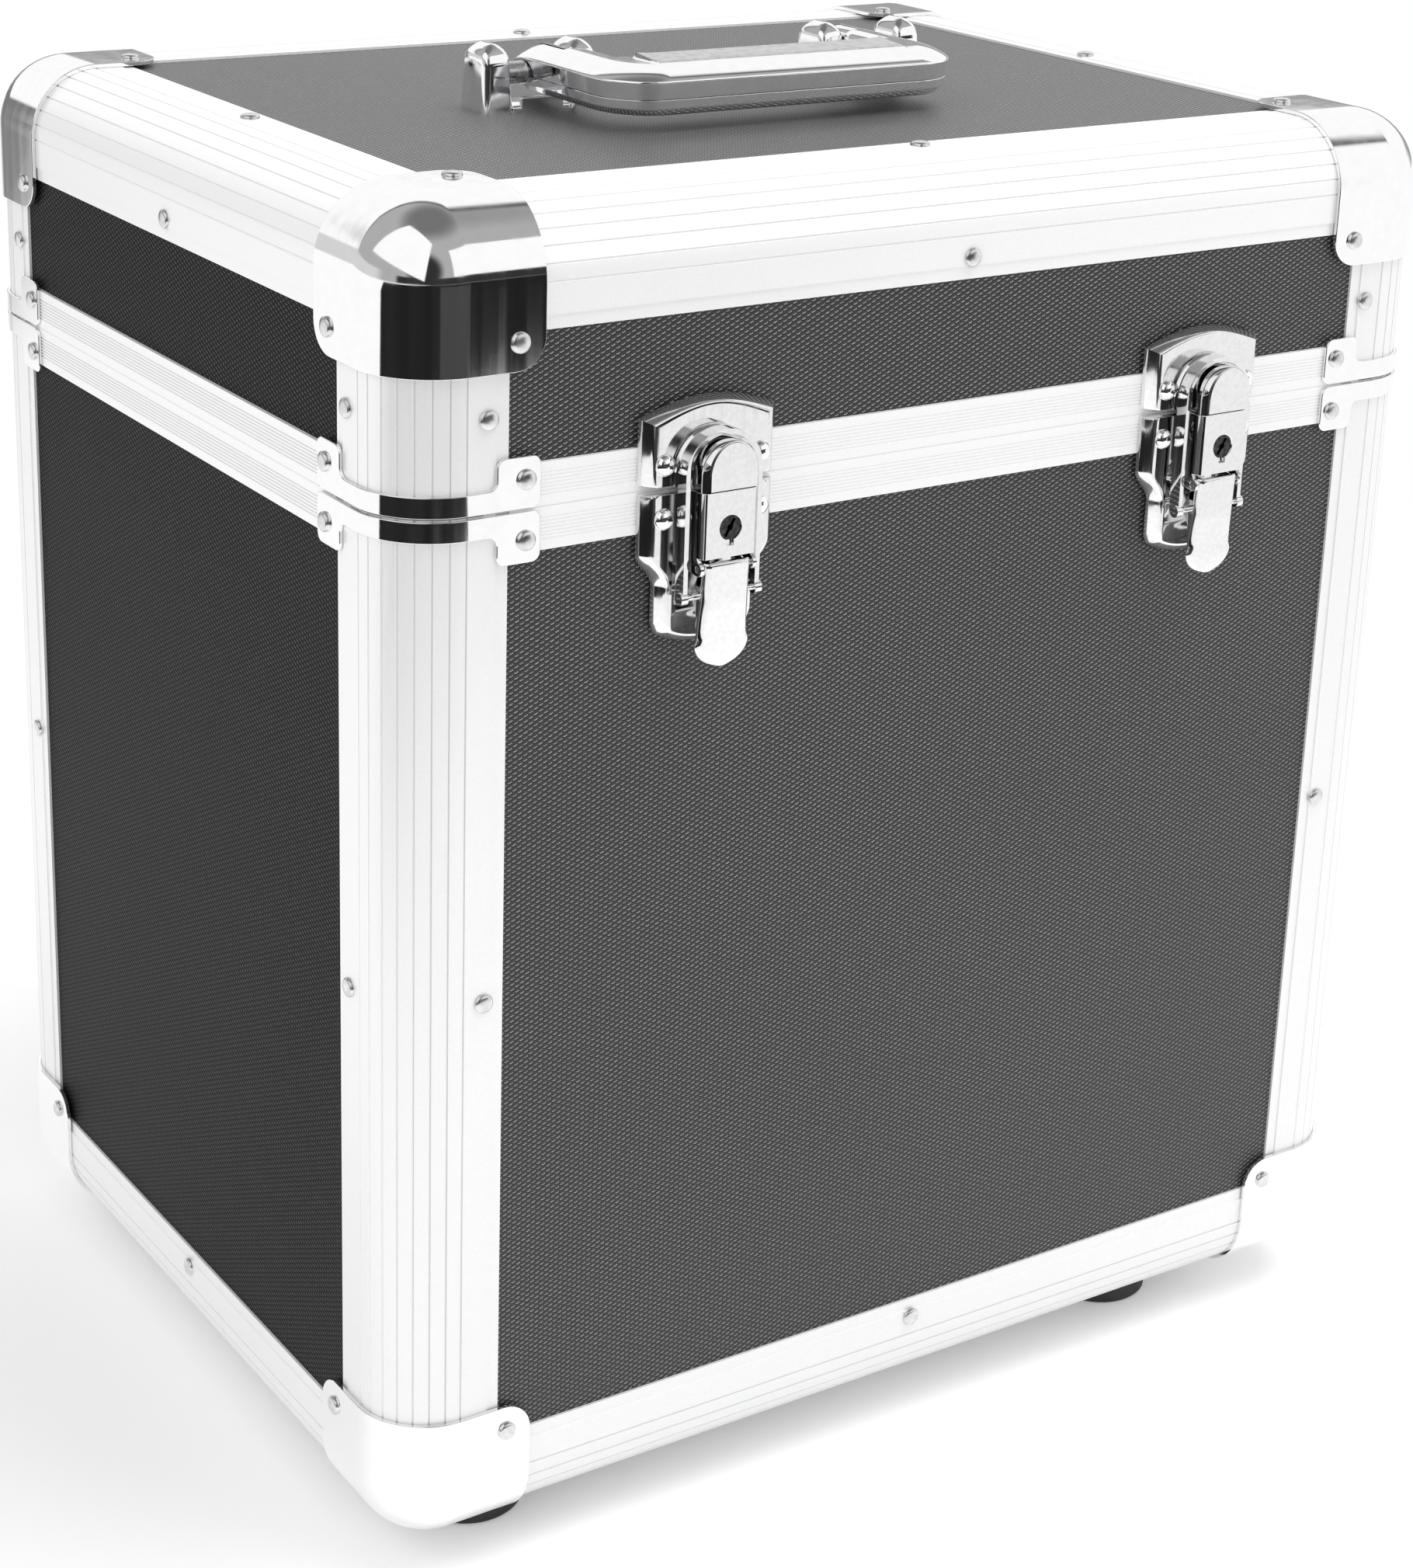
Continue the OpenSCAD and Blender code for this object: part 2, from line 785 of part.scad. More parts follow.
module corner_clamp() {
  translate([0, -seat, 0]) rotate([90, 0, 0]) linear_extrude(clamp_t) clamp_face();
  translate([-seat, 0, 0]) rotate([90, 0, 90]) mirror([0, 0, 1]) linear_extrude(clamp_t)
    clamp_face();
  translate([edge_r, edge_r, clamp_edge]) linear_extrude(clamp_band) sheet_arc(clamp_t);
}

module upper_corner_clamps() {
  color([0.8, 0.8, 0.82]) in_frame() difference() {
    four_corners() translate([-half_w, -half_d, z_lid]) corner_clamp();
    upper_clamp_rivets() rivet_cut();
  }
}

module lower_corner_clamps() {
  color([0.8, 0.8, 0.82]) in_frame() difference() {
    four_corners() translate([-half_w, -half_d, z_part]) mirror([0, 0, 1]) corner_clamp();
    lower_clamp_rivets() rivet_cut();
  }
}

module body_rivets() {
  color([0.75, 0.75, 0.75]) in_frame() {
    body_side_rivets() rivet(wall);
    bottom_edge_rivets() rivet(wall);
    cap_rivets() translate([0, 0, seat + cap_t]) rivet(board_in + seat + cap_t);
    lower_clamp_rivets() translate([0, 0, seat + clamp_t]) rivet(wall + seat + clamp_t);
    hinge_rivet_set(false);
  }
}

module lid_rivets() {
  color([0.75, 0.75, 0.75]) in_frame() {
    lid_side_rivets() rivet(wall);
    at_top() bottom_edge_rivets() rivet(wall);
    at_top() cap_rivets() translate([0, 0, seat + cap_t]) rivet(board_in + seat + cap_t);
    upper_clamp_rivets() translate([0, 0, seat + clamp_t]) rivet(wall + seat + clamp_t);
    hinge_rivet_set(true);
  }
}

// ---------- latches ----------
// drawn as x from the latch middle, height from the parting line, depth from the band

function blend(a, b, s) = a + (b - a) * (1 - cos(180 * min(1, max(0, s)))) / 2;

// half width of the lower plate at height h, drawn in by e all round
function base_half(h, e) =
  blend(foot_w / 2, plate_w / 2, (h + 26) / 9) - e;

function base_bottom(x, e) = -plate_low + e + 4.5 * pow(abs(x) / (foot_w / 2), 2.4);

module base_outline(e) {
  top = -0.5 - e;
  n = 10;
  low = foot_w / 2 - e;
  right = [for (k = [0:n]) let (h = -26 + k * 9 / n) [base_half(h, e), h]];
  left = [for (k = [n:-1:0]) let (h = -26 + k * 9 / n) [-base_half(h, e), h]];
  foot = [for (k = [0:16]) let (x = -low + low * k / 8) [x, base_bottom(x, e)]];
  polygon(concat(right, [[plate_w / 2 - e, top], [-plate_w / 2 + e, top]], left, foot));
}

module catch_outline(e) {
  side = plate_high - 4.6;
  n = 12;
  half = plate_w / 2 - e;
  low = seam / 2 + 1 + e;
  arc = [for (k = [0:n]) let (x = half - 2 * half * k / n)
    [x, seam / 2 + side + 4.6 * cos(88 * x / half) - e]];
  polygon(concat([[-half, low], [half, low]], arc));
}

module latch_base() {
  difference() {
    linear_extrude(plate_rise) base_outline(0);
    translate([0, 0, -1]) linear_extrude(plate_rise + 1 - plate_t) base_outline(plate_t);
    for (dx = [-1, 1]) translate([dx * latch_rivet_x, -latch_rivet_z, 0])
      cylinder(r = rivet_hole, h = plate_rise + 1);
  }
}

module left_latch_base() {
  color([0.8, 0.8, 0.82]) in_frame() on_front(-latch_x, z_mid) latch_base();
}

module right_latch_base() {
  color([0.8, 0.8, 0.82]) in_frame() on_front(latch_x, z_mid) latch_base();
}

// housing: bevelled box with a key bore, hollow behind, and two lugs for the lever pin
module lock_housing() {
  top = 0.9;
  difference() {
    union() {
      translate([0, top, 0]) rotate([90, 0, 0]) linear_extrude(top + lock_low)
        polygon([[-lock_w / 2, plate_rise], [lock_w / 2, plate_rise],
                 [lock_w / 2, lock_rise - 2.4], [lock_face_w / 2, lock_rise],
                 [-lock_face_w / 2, lock_rise], [-lock_w / 2, lock_rise - 2.4]]);
      for (s = [0, 1]) mirror_if(s == 1, [1, 0, 0]) lever_lug();
    }
    translate([0, -1.2, 0]) rotate([90, 0, 0]) linear_extrude(lock_low - 2.4)
      translate([-lock_face_w / 2 + 1, plate_rise - 1])
        square([lock_face_w - 2, lock_rise - plate_rise + 1 - lock_face_t]);
    translate([0, -key_z, plate_rise]) cylinder(r = plug_r, h = lock_rise);
    translate([-1, -key_z - plug_r - 1.4, lock_rise - 1]) cube([2, 3, 2]);
    translate([-lock_w, -lever_z, knuckle_p]) rotate([0, 90, 0])
      cylinder(r = lever_pin_r + 0.02, h = lock_w * 2, $fn = 32);
  }
}

module lever_lug() {
  translate([lug_in, 0, 0]) rotate([90, 0, 90]) linear_extrude(lug_t) union() {
    translate([-lever_z, knuckle_p]) circle(r = knuckle_r - 0.1);
    polygon([[-lock_low, plate_rise], [-lever_z - 1, plate_rise],
             [-lever_z - knuckle_r + 0.1, knuckle_p], [-lever_z, lock_rise - 0.1],
             [-lock_low, lock_rise - 2.4]]);
  }
}

module left_lock_housing() {
  color([0.8, 0.8, 0.82]) in_frame() on_front(-latch_x, z_mid) lock_housing();
}

module right_lock_housing() {
  color([0.8, 0.8, 0.82]) in_frame() on_front(latch_x, z_mid) lock_housing();
}

module lever_pins() {
  color([0.7, 0.7, 0.7]) in_frame() for (s = [-1, 1]) on_front(s * latch_x, z_mid)
    translate([-lock_w / 2, -lever_z, knuckle_p]) rotate([0, 90, 0])
      cylinder(r = lever_pin_r, h = lock_w, $fn = 32);
}

// key plug: front disc in the bore, key slot, and a cam that turns behind the face
module key_plug() {
  front = lock_rise - 0.4;
  back = lock_rise - lock_face_t - side_gap;
  translate([0, -key_z, 0]) difference() {
    union() {
      translate([0, 0, back - 1.4]) cylinder(r = plug_r - pin_play, h = front - back + 1.4);
      translate([0, 0, back - 1.4]) cylinder(r = plug_r + 1.2, h = 1.4);
      translate([-1.6, -5.2, back - 2.8]) cube([3.2, 7.2, 1.4]);
    }
    translate([0, 0, front - 2.4]) rotate([0, 0, -30])
      translate([-0.45, -plug_r + 0.7, 0]) cube([0.9, plug_r * 2 - 1.4, 4]);
    translate([0, 0, front - 2.8]) cylinder(r = 0.9, h = 4, $fn = 24);
  }
}

module left_key_plug() {
  color([0.5, 0.5, 0.5]) in_frame() on_front(-latch_x, z_mid) key_plug();
}

module right_key_plug() {
  color([0.5, 0.5, 0.5]) in_frame() on_front(latch_x, z_mid) key_plug();
}

// lever: bent sheet with rolled knuckle, flared tongue and two cheeks that carry the bail
function lever_half(h) =
  h > -lever_z - 6 ? knuckle_half :
  h > -38.5 ? blend(knuckle_half, tongue_half - 0.9, (-lever_z - 6 - h) / 13) :
  blend(tongue_half - 0.9, tongue_half, (-38.5 - h) / 3);

module lever_front() {
  end = -lever_low + 8;
  rise = -lever_z + lever_up - end;
  up = [for (k = [0:14]) let (h = end + rise * k / 14) [lever_half(h), h]];
  down = [for (k = [14:-1:0]) let (h = end + rise * k / 14) [-lever_half(h), h]];
  tip = [for (k = [1:15]) [-tongue_half * cos(k * 180 / 16), end - 8 * sin(k * 180 / 16)]];
  polygon(concat(up, down, tip));
}

module lever() {
  difference() {
    union() {
      intersection() {
        translate([0, 0, 5]) linear_extrude(lock_rise) lever_front();
        translate([-15, 0, 0]) rotate([90, 0, 90]) linear_extrude(30)
          polygon([[-lever_z + lever_up, lock_rise], [-lever_z + lever_up, lock_rise - lever_t],
                   [-lever_z, lock_rise - lever_t],
                   [-30, lock_rise - 0.6 - lever_t], [-38.5, lock_rise - 1.4 - lever_t],
                   [-lever_low - 1, lock_rise - 2.1 - lever_t],
                   [-lever_low - 1, lock_rise - 2.1], [-38.5, lock_rise - 1.4],
                   [-30, lock_rise - 0.6]]);
      }
      translate([-knuckle_half, -lever_z, knuckle_p]) rotate([0, 90, 0])
        cylinder(r = knuckle_r, h = knuckle_half * 2);
      for (s = [0, 1]) mirror_if(s == 1, [1, 0, 0]) lever_cheek();
    }
    translate([-lock_w, -lever_z, knuckle_p]) rotate([0, 90, 0])
      cylinder(r = lever_pin_r + pin_play, h = lock_w * 2, $fn = 32);
    translate([-lock_w, -bail_z, bail_p]) rotate([0, 90, 0])
      cylinder(r = stub_r + pin_play, h = lock_w * 2, $fn = 32);
  }
}

module lever_cheek() {
  translate([cheek_out - lever_t, 0, 0]) rotate([90, 0, 90]) linear_extrude(lever_t) union() {
    translate([-bail_z, bail_p]) circle(r = 2.2);
    polygon([[-lever_z - 1.2, knuckle_p - 1], [-bail_z + 1.6, bail_p - 1.5],
             [-bail_z - 1.6, bail_p - 1.5], [-bail_z - 6.5, lock_rise - 2.2],
             [-30, lock_rise - 1.2], [-lever_z, lock_rise - 0.5]]);
  }
}

module left_lever() {
  color([0.8, 0.8, 0.82]) in_frame() on_front(-latch_x, z_mid) lever();
}

module right_lever() {
  color([0.8, 0.8, 0.82]) in_frame() on_front(latch_x, z_mid) lever();
}

// bail: flat strip bent to a bow over the catch, stubs at its ends turn in the cheeks
module bail() {
  translate([0, 0, bail_back]) linear_extrude(bail_deep) {
    difference() {
      translate([0, bow_z]) circle(r = bail_out, $fn = 96);
      translate([0, bow_z]) circle(r = bail_in, $fn = 96);
      translate([-bail_out * 2, bow_z - bail_out * 2]) square([bail_out * 4, bail_out * 2]);
    }
    for (s = [-1, 1]) translate([s * (bail_in + bail_t / 2) - bail_t / 2, -bail_z - stub_r])
      square([bail_t, bail_z + stub_r + bow_z]);
  }
  for (s = [0, 1]) mirror_if(s == 1, [1, 0, 0]) translate([0, -bail_z, bail_p]) {
    translate([bail_in, 0, 0]) rotate([0, 90, 0]) cylinder(r = stub_r * 2, h = bail_t + 0.7);
    translate([cheek_out - lever_t - 0.6, 0, 0]) rotate([0, 90, 0])
      cylinder(r = stub_r, h = bail_in - cheek_out + lever_t + 1, $fn = 32);
  }
}

module left_bail() {
  color([0.8, 0.8, 0.82]) in_frame() on_front(-latch_x, z_mid) bail();
}

module right_bail() {
  color([0.8, 0.8, 0.82]) in_frame() on_front(latch_x, z_mid) bail();
}

// upper plate with its pressed half dome and the D-shaped catch that the bail draws down
module catch_plate() {
  low = seam / 2 + 1;
  difference() {
    union() {
      difference() {
        linear_extrude(plate_rise) catch_outline(0);
        translate([0, 0, -1]) linear_extrude(plate_rise + 1 - plate_t) catch_outline(plate_t);
      }
      half_boss([[0, plate_rise - plate_t], [dome_r, plate_rise - plate_t],
                 [dome_r, plate_rise], [dome_r - 0.4, plate_rise + 0.8],
                 [dome_r - 1.4, plate_rise + 1.3], [0, plate_rise + 1.5]], bow_z, low);
      half_boss([[0, plate_rise], [catch_r, plate_rise], [catch_r, catch_rise - 1.4],
                 [catch_r - 1, catch_rise], [0, catch_rise]], catch_z, low);
    }
    for (dx = [-1, 1]) translate([dx * latch_rivet_x, latch_rivet_z, 0])
      cylinder(r = rivet_hole, h = plate_rise + 1);
  }
}

// boss with a half-round top: the same outline turned about the middle and run down
module half_boss(outline, middle, low) {
  translate([0, middle, 0]) rotate_extrude(angle = 180, $fn = 96) polygon(outline);
  for (s = [0, 1]) mirror_if(s == 1, [1, 0, 0])
    translate([0, middle, 0]) rotate([90, 0, 0]) linear_extrude(middle - low)
      polygon(outline);
}

module left_catch_plate() {
  color([0.8, 0.8, 0.82]) in_frame() on_front(-latch_x, z_mid) catch_plate();
}

module right_catch_plate() {
  color([0.8, 0.8, 0.82]) in_frame() on_front(latch_x, z_mid) catch_plate();
}

module latch_base_rivets() {
  color([0.75, 0.75, 0.75]) in_frame() latch_rivets(false) translate([0, 0, plate_rise])
    rivet(wall + plate_rise, latch_head_r, latch_head_h);
}

module catch_rivets() {
  color([0.75, 0.75, 0.75]) in_frame() latch_rivets(true) translate([0, 0, plate_rise])
    rivet(wall + plate_rise, latch_head_r, latch_head_h);
}

// ---------- rear hinges ----------
// five knuckles on one pin: three on the body's leaf, two on the lid's

knuckle_w = hinge_w / 5;

module hinge_leaf(mine) {
  clear = hinge_r + 0.4;
  difference() {
    union() {
      translate([-hinge_w / 2, -hinge_off, 0.3]) cube([hinge_w, leaf_t, leaf_h - 0.3]);
      for (k = mine) translate([(k - 2.5) * knuckle_w + 0.15, 0, 0]) rotate([0, 90, 0])
        cylinder(r = hinge_r, h = knuckle_w - 0.3);
    }
    for (k = [0:4]) if (!is_mine(k, mine)) translate([(k - 2.5) * knuckle_w - 0.15, 0, 0])
      rotate([0, 90, 0]) cylinder(r = clear, h = knuckle_w + 0.3);
    translate([-hinge_w, 0, 0]) rotate([0, 90, 0])
      cylinder(r = hinge_pin_r + pin_play, h = hinge_w * 2, $fn = 32);
  }
}

function is_mine(k, list) = len(search(k, list)) > 0;

module hinge_at() {
  left_right() translate([-hinge_x, half_d + hinge_off, z_mid]) children();
}

module body_hinge_leaves() {
  color([0.8, 0.8, 0.82]) in_frame() difference() {
    hinge_at() mirror([0, 0, 1]) hinge_leaf([0, 2, 4]);
    hinge_rivets(false, [hinge_near, hinge_far]) rivet_cut();
  }
}

module lid_hinge_leaves() {
  color([0.8, 0.8, 0.82]) in_frame() difference() {
    hinge_at() hinge_leaf([1, 3]);
    hinge_rivets(true, [hinge_near, hinge_far]) rivet_cut();
  }
}

module hinge_pins() {
  color([0.7, 0.7, 0.7]) in_frame() hinge_at() {
    translate([-hinge_w / 2 - 0.6, 0, 0]) rotate([0, 90, 0])
      cylinder(r = hinge_pin_r, h = hinge_w + 1.2, $fn = 32);
    for (s = [-1, 1]) translate([s * (hinge_w / 2 + 0.6) - 0.6, 0, 0]) rotate([0, 90, 0])
      cylinder(r = hinge_pin_r + 0.5, h = 1.2, $fn = 32);
  }
}

// ---------- feet and pads ----------

module feet_at() {
  for (x = [-half_w + foot_left_in, half_w - foot_right_in],
       y = [-half_d + foot_edge_in, half_d - foot_edge_in]) translate([x, y, 0]) children();
}

module screw_cut() {
  translate([0, 0, -1]) cylinder(r = screw_r + hole_play, h = z_base + 20);
}

// round rubber foot, slightly tapered, screwed up through a recess; relieved over the caps
module rubber_feet() {
  color([0.08, 0.08, 0.08]) in_frame() difference() {
    feet_at() rotate_extrude($fn = 64) difference() {
      polygon([[0, 0], [foot_d / 2 - 1, 0], [foot_d / 2, 1], [foot_d / 2 - 0.6, foot_h],
               [0, foot_h]]);
      square([screw_r * 2.4, foot_h * 0.45]);
      square([screw_r + hole_play, foot_h + 1]);
    }
    four_corners() translate([-half_w - 5, -half_d - 5, z_base - seat - cap_t - 0.1])
      cube([cap_leg + 5.1, cap_leg + 5.1, 5]);
    four_corners() on_bottom(-half_w + cap_rivet, -half_d + cap_rivet)
      cylinder(r = rivet_r + 0.4, h = seat + cap_t + rivet_h + 0.3);
  }
}

module foot_screws() {
  color([0.7, 0.7, 0.7]) in_frame() feet_at() translate([0, 0, foot_h * 0.45]) {
    translate([0, 0, -1.8]) cylinder(r = screw_r * 2, h = 1.8, $fn = 32);
    cylinder(r = screw_r, h = foot_h * 0.55 + board_in + 2, $fn = 32);
    translate([0, 0, foot_h * 0.55 + board_in]) cylinder(r = screw_r * 1.6, h = 2, $fn = 6);
  }
}

module pad() {
  cube([case_w - pad_in * 2, case_d - pad_in * 2, pad_t]);
}

module base_pad() {
  color([0.15, 0.15, 0.15]) in_frame()
    translate([-half_w + pad_in, -half_d + pad_in, z_base + board_in]) pad();
}

module lid_pad() {
  color([0.15, 0.15, 0.15]) in_frame() difference() {
    translate([-half_w + pad_in, -half_d + pad_in, z_top - board_in - pad_t]) pad();
    bracket_screws_at() translate([0, 0, -panel_t - pad_t - 1])
      cylinder(r = screw_r * 2.6, h = pad_t + 1.05, $fn = 32);
  }
}

// ---------- handle ----------
// drawn from the handle middle: x across, y from the axis, height above the panel

module handle_at() {
  translate([handle_x, handle_y, deck]) children();
}

// bracket: floor plate and two bullet-shaped ears with a tapered, rounded top
module ear(x) {
  intersection() {
    translate([x, 0, 0]) rotate([90, 0, 0]) translate([0, 0, -ear_d / 2]) linear_extrude(ear_d)
      union() {
        polygon([[0, 0], [ear_w, 0], [ear_w - 0.6, ear_h - 5], [0.8, ear_h - 5]]);
        intersection() {
          translate([ear_w / 2 + 0.1, ear_h - 5]) circle(r = ear_w / 2 - 0.7);
          translate([0, ear_h - 5]) square([ear_w, 5]);
        }
      }
    translate([x, 0, 0]) rotate([90, 0, 90]) linear_extrude(ear_w) union() {
      polygon([[-ear_d / 2, 0], [ear_d / 2, 0], [ear_d / 2 - 0.9, ear_h - 6.8],
               [-ear_d / 2 + 0.9, ear_h - 6.8]]);
      intersection() {
        translate([0, ear_h - 6.8]) circle(r = ear_d / 2 - 0.9, $fn = 96);
        translate([-ear_d, ear_h - 6.8]) square([ear_d * 2, 6.8]);
      }
    }
  }
}

module handle_brackets() {
  color([0.8, 0.8, 0.82]) in_frame() handle_at() difference() {
    left_right() {
      ear(ear_in - ear_w);
      ear(ear_out);
      translate([ear_in - 1, -ear_d / 2, 0]) cube([pocket_w + 2, ear_d, bracket_t]);
      translate([ear_in + 2, -ear_d / 2, 0]) cube([pocket_w - 4, 1.4, grip_low - side_gap]);
    }
    left_right() translate([ear_in - ear_w / 2 - 0.2, 0, handle_z]) rotate([0, 90, 0])
      cylinder(r = handle_pin_r + 0.02, h = pocket_w + ear_w + 0.4);
    left_right() for (x = [ear_in - ear_w / 2, ear_out + ear_w / 2])
      translate([x, bracket_screw_y, -1])
        cylinder(r = screw_r, h = bracket_screw_up + 1.2, $fn = 32);
  }
}

// pins run from ear to ear through the arms; a washer takes up the free width outside
module handle_pins() {
  color([0.7, 0.7, 0.7]) in_frame() handle_at() left_right()
    translate([0, 0, handle_z]) rotate([0, 90, 0]) {
    translate([0, 0, ear_in - ear_w / 2]) cylinder(r = handle_pin_r, h = pocket_w + ear_w);
    translate([0, 0, grip_half + side_gap])
      cylinder(r = handle_pin_r + 1.4, h = ear_out - grip_half - side_gap * 2);
  }
}

module bracket_screws_at() {
  translate([handle_x, handle_y, deck])
    left_right() for (x = [ear_in - ear_w / 2, ear_out + ear_w / 2])
      translate([x, bracket_screw_y, 0]) children();
}

module bracket_screws() {
  color([0.7, 0.7, 0.7]) in_frame() bracket_screws_at() {
    translate([0, 0, -panel_t])
      cylinder(r = screw_r - 0.05, h = panel_t + bracket_screw_up, $fn = 32);
    translate([0, 0, -panel_t - bracket_head_h])
      cylinder(r = screw_r * 2, h = bracket_head_h, $fn = 32);
  }
}

// U-shaped plan of the handle with rounded outer corners and a rounded finger opening
module handle_plan(back) {
  front = -grip_reach;
  inner = front + grip_depth;
  f = 8;
  difference() {
    union() {
      translate([-grip_half, front + grip_r]) square([grip_half * 2, back - front - grip_r]);
      translate([-grip_half + grip_r, front]) square([(grip_half - grip_r) * 2, grip_r]);
      for (s = [-1, 1]) translate([s * (grip_half - grip_r), front + grip_r])
        circle(r = grip_r, $fn = 96);
    }
    translate([-arm_in + f, inner]) square([(arm_in - f) * 2, grip_reach * 2]);
    translate([-arm_in, inner + f]) square([arm_in * 2, grip_reach * 2]);
    for (s = [-1, 1]) translate([s * (arm_in - f), inner + f]) circle(r = f);
  }
}

// side view: upright front, sloping shoulder, raised grip, lower arms round the axis
module handle_side(z0, z1) {
  front = -grip_reach;
  back = front + grip_depth;
  intersection() {
    polygon([[front + 1.6, grip_low], [front, grip_low + 1.6], [front, grip_side],
             [front + 1.6, grip_side + 1.4], [front + shoulder, grip_top - 0.9],
             [back - 1.5, grip_top], [back + 1.5, arm_top], [0, arm_top], [0, grip_low]]);
    translate([-grip_reach - 1, z0]) square([grip_reach * 2, z1 - z0]);
  }
}

// front view: the same shoulder on the left and right
module handle_front() {
  polygon([[-grip_half + 1.6, grip_low], [grip_half - 1.6, grip_low],
           [grip_half, grip_low + 1.6], [grip_half, grip_side],
           [grip_half - 1.6, grip_side + 1.4], [grip_half - shoulder, arm_top],
           [arm_in - 4, grip_top + 1], [-arm_in + 4, grip_top + 1],
           [-grip_half + shoulder, arm_top], [-grip_half + 1.6, grip_side + 1.4],
           [-grip_half, grip_side], [-grip_half, grip_low + 1.6]]);
}

// one shell: plan, side and front views intersected, then bored for the pins and recessed
module handle_shell(z0, z1) {
  neck_in = pocket_x - arm_half;
  difference() {
    union() {
      difference() {
        intersection() {
          linear_extrude(grip_top * 2) handle_plan(0);
          translate([-handle_span / 2, 0, 0]) rotate([90, 0, 90]) linear_extrude(handle_span)
            handle_side(z0, z1);
          translate([0, grip_reach, 0]) rotate([90, 0, 0]) linear_extrude(grip_reach * 3)
            handle_front();
        }
        for (s = [-1, 1]) translate([s * pocket_x, 0, 0]) neck_cut(s);
      }
      left_right() translate([neck_in, 0, 0]) rotate([90, 0, 90])
        linear_extrude(grip_half - 1.6 - neck_in) knuckle_side(max(z0, grip_low), z1);
    }
    translate([-handle_span / 2, 0, handle_z]) rotate([0, 90, 0])
      cylinder(r = handle_pin_r + pin_play, h = handle_span);
  }
}

// rounded back end of an arm round the pin
module knuckle_side(z0, z1) {
  intersection() {
    translate([0, handle_z]) circle(r = arm_top - handle_z, $fn = 96);
    translate([0, z0]) square([arm_top, z1 - z0]);
  }
}

// leaves the arm inside its pocket: everything beside the pocket's clear width goes
module neck_cut(s) {
  reach = ear_h - handle_z + side_gap;
  translate([s > 0 ? -arm_half - arm_w : arm_half, -reach, -1]) cube([arm_w, reach * 3, grip_top * 2]);
}

module handle_lower_shell() {
  color([0.8, 0.8, 0.82]) in_frame() handle_at() handle_shell(0, grip_seam - 0.1);
}

module handle_upper_shell() {
  color([0.8, 0.8, 0.82]) in_frame() handle_at() handle_shell(grip_seam, grip_top + 1);
}

body_front_panel();
body_rear_panel();
body_left_panel();
body_right_panel();
body_bottom_panel();
body_corner_profiles();
bottom_edge_profiles();
body_closure_profiles();
bottom_corner_caps();
lower_corner_clamps();
body_rivets();
latch_base_rivets();
left_latch_base();
right_latch_base();
left_lock_housing();
right_lock_housing();
lever_pins();
left_lever();
right_lever();
left_bail();
right_bail();
left_key_plug();
right_key_plug();
body_hinge_leaves();
hinge_pins();
rubber_feet();
foot_screws();
base_pad();
lid_top_panel();
lid_front_panel();
lid_rear_panel();
lid_left_panel();
lid_right_panel();
lid_corner_profiles();
top_edge_profiles();
lid_closure_profiles();
top_corner_caps();
upper_corner_clamps();
lid_rivets();
catch_rivets();
left_catch_plate();
right_catch_plate();
lid_hinge_leaves();
lid_pad();
handle_brackets();
handle_pins();
bracket_screws();
handle_lower_shell();
handle_upper_shell();
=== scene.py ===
import math

import bmesh
import bpy
from mathutils import Matrix, Vector


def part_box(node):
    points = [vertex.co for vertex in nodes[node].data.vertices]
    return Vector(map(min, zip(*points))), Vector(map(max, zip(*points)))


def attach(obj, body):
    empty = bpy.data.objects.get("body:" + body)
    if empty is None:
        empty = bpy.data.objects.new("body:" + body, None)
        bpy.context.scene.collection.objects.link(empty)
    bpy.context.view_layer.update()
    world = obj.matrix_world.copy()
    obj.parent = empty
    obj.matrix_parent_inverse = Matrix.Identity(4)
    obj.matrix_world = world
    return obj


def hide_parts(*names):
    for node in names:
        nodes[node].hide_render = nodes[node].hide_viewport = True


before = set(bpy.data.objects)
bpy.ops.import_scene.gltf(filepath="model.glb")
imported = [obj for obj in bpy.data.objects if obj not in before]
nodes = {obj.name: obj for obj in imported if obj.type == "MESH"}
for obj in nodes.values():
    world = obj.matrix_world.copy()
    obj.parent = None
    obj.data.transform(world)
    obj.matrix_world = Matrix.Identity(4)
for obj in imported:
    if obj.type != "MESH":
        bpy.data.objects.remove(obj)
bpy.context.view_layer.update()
scene = bpy.context.scene
scene.view_settings.view_transform = "Standard"


# ---- Camera and studio ----------------------------------------------------------------
# A white sweep under even light, seen from the front left and a little above.  Plated metal
# sees a studio of white banks, a grey ceiling and dark cards instead, as it does in the photo.

# the case's middle lies behind the frame's origin: the latches reach out further than the hinges
case_y = 0.0039

# the camera worked out from the photo, in its pixels
photo_high, focal, middle_row = 2019, 4027.7, 759.4
camera_data = bpy.data.cameras.new("camera")
camera_data.sensor_fit = "AUTO"
camera_data.sensor_width = 36.0
camera_data.lens = focal / photo_high * 36.0
camera_data.shift_y = -(photo_high / 2 - middle_row) / photo_high
camera_data.clip_start = 0.05
camera_data.clip_end = 60.0
camera = bpy.data.objects.new("camera", camera_data)
scene.collection.objects.link(camera)
right = Vector((0.83696794, -0.54635825, 0.03126222))
down = Vector((-0.14776201, -0.28062248, -0.9483762))
ahead = Vector((0.52692604, 0.7891411, -0.31560302))
axes = Matrix((right, -down, -ahead)).transposed().to_4x4()
camera.matrix_world = Matrix.Translation((-0.51728, -0.78586 + case_y, 0.54070)) @ axes
scene.camera = camera


def flat_sheet(name, corners, material):
    mesh = bpy.data.meshes.new(name)
    mesh.from_pydata([Vector(c) for c in corners], [], [tuple(range(len(corners)))])
    made = bpy.data.objects.new(name, mesh)
    scene.collection.objects.link(made)
    mesh.materials.append(material)
    return made


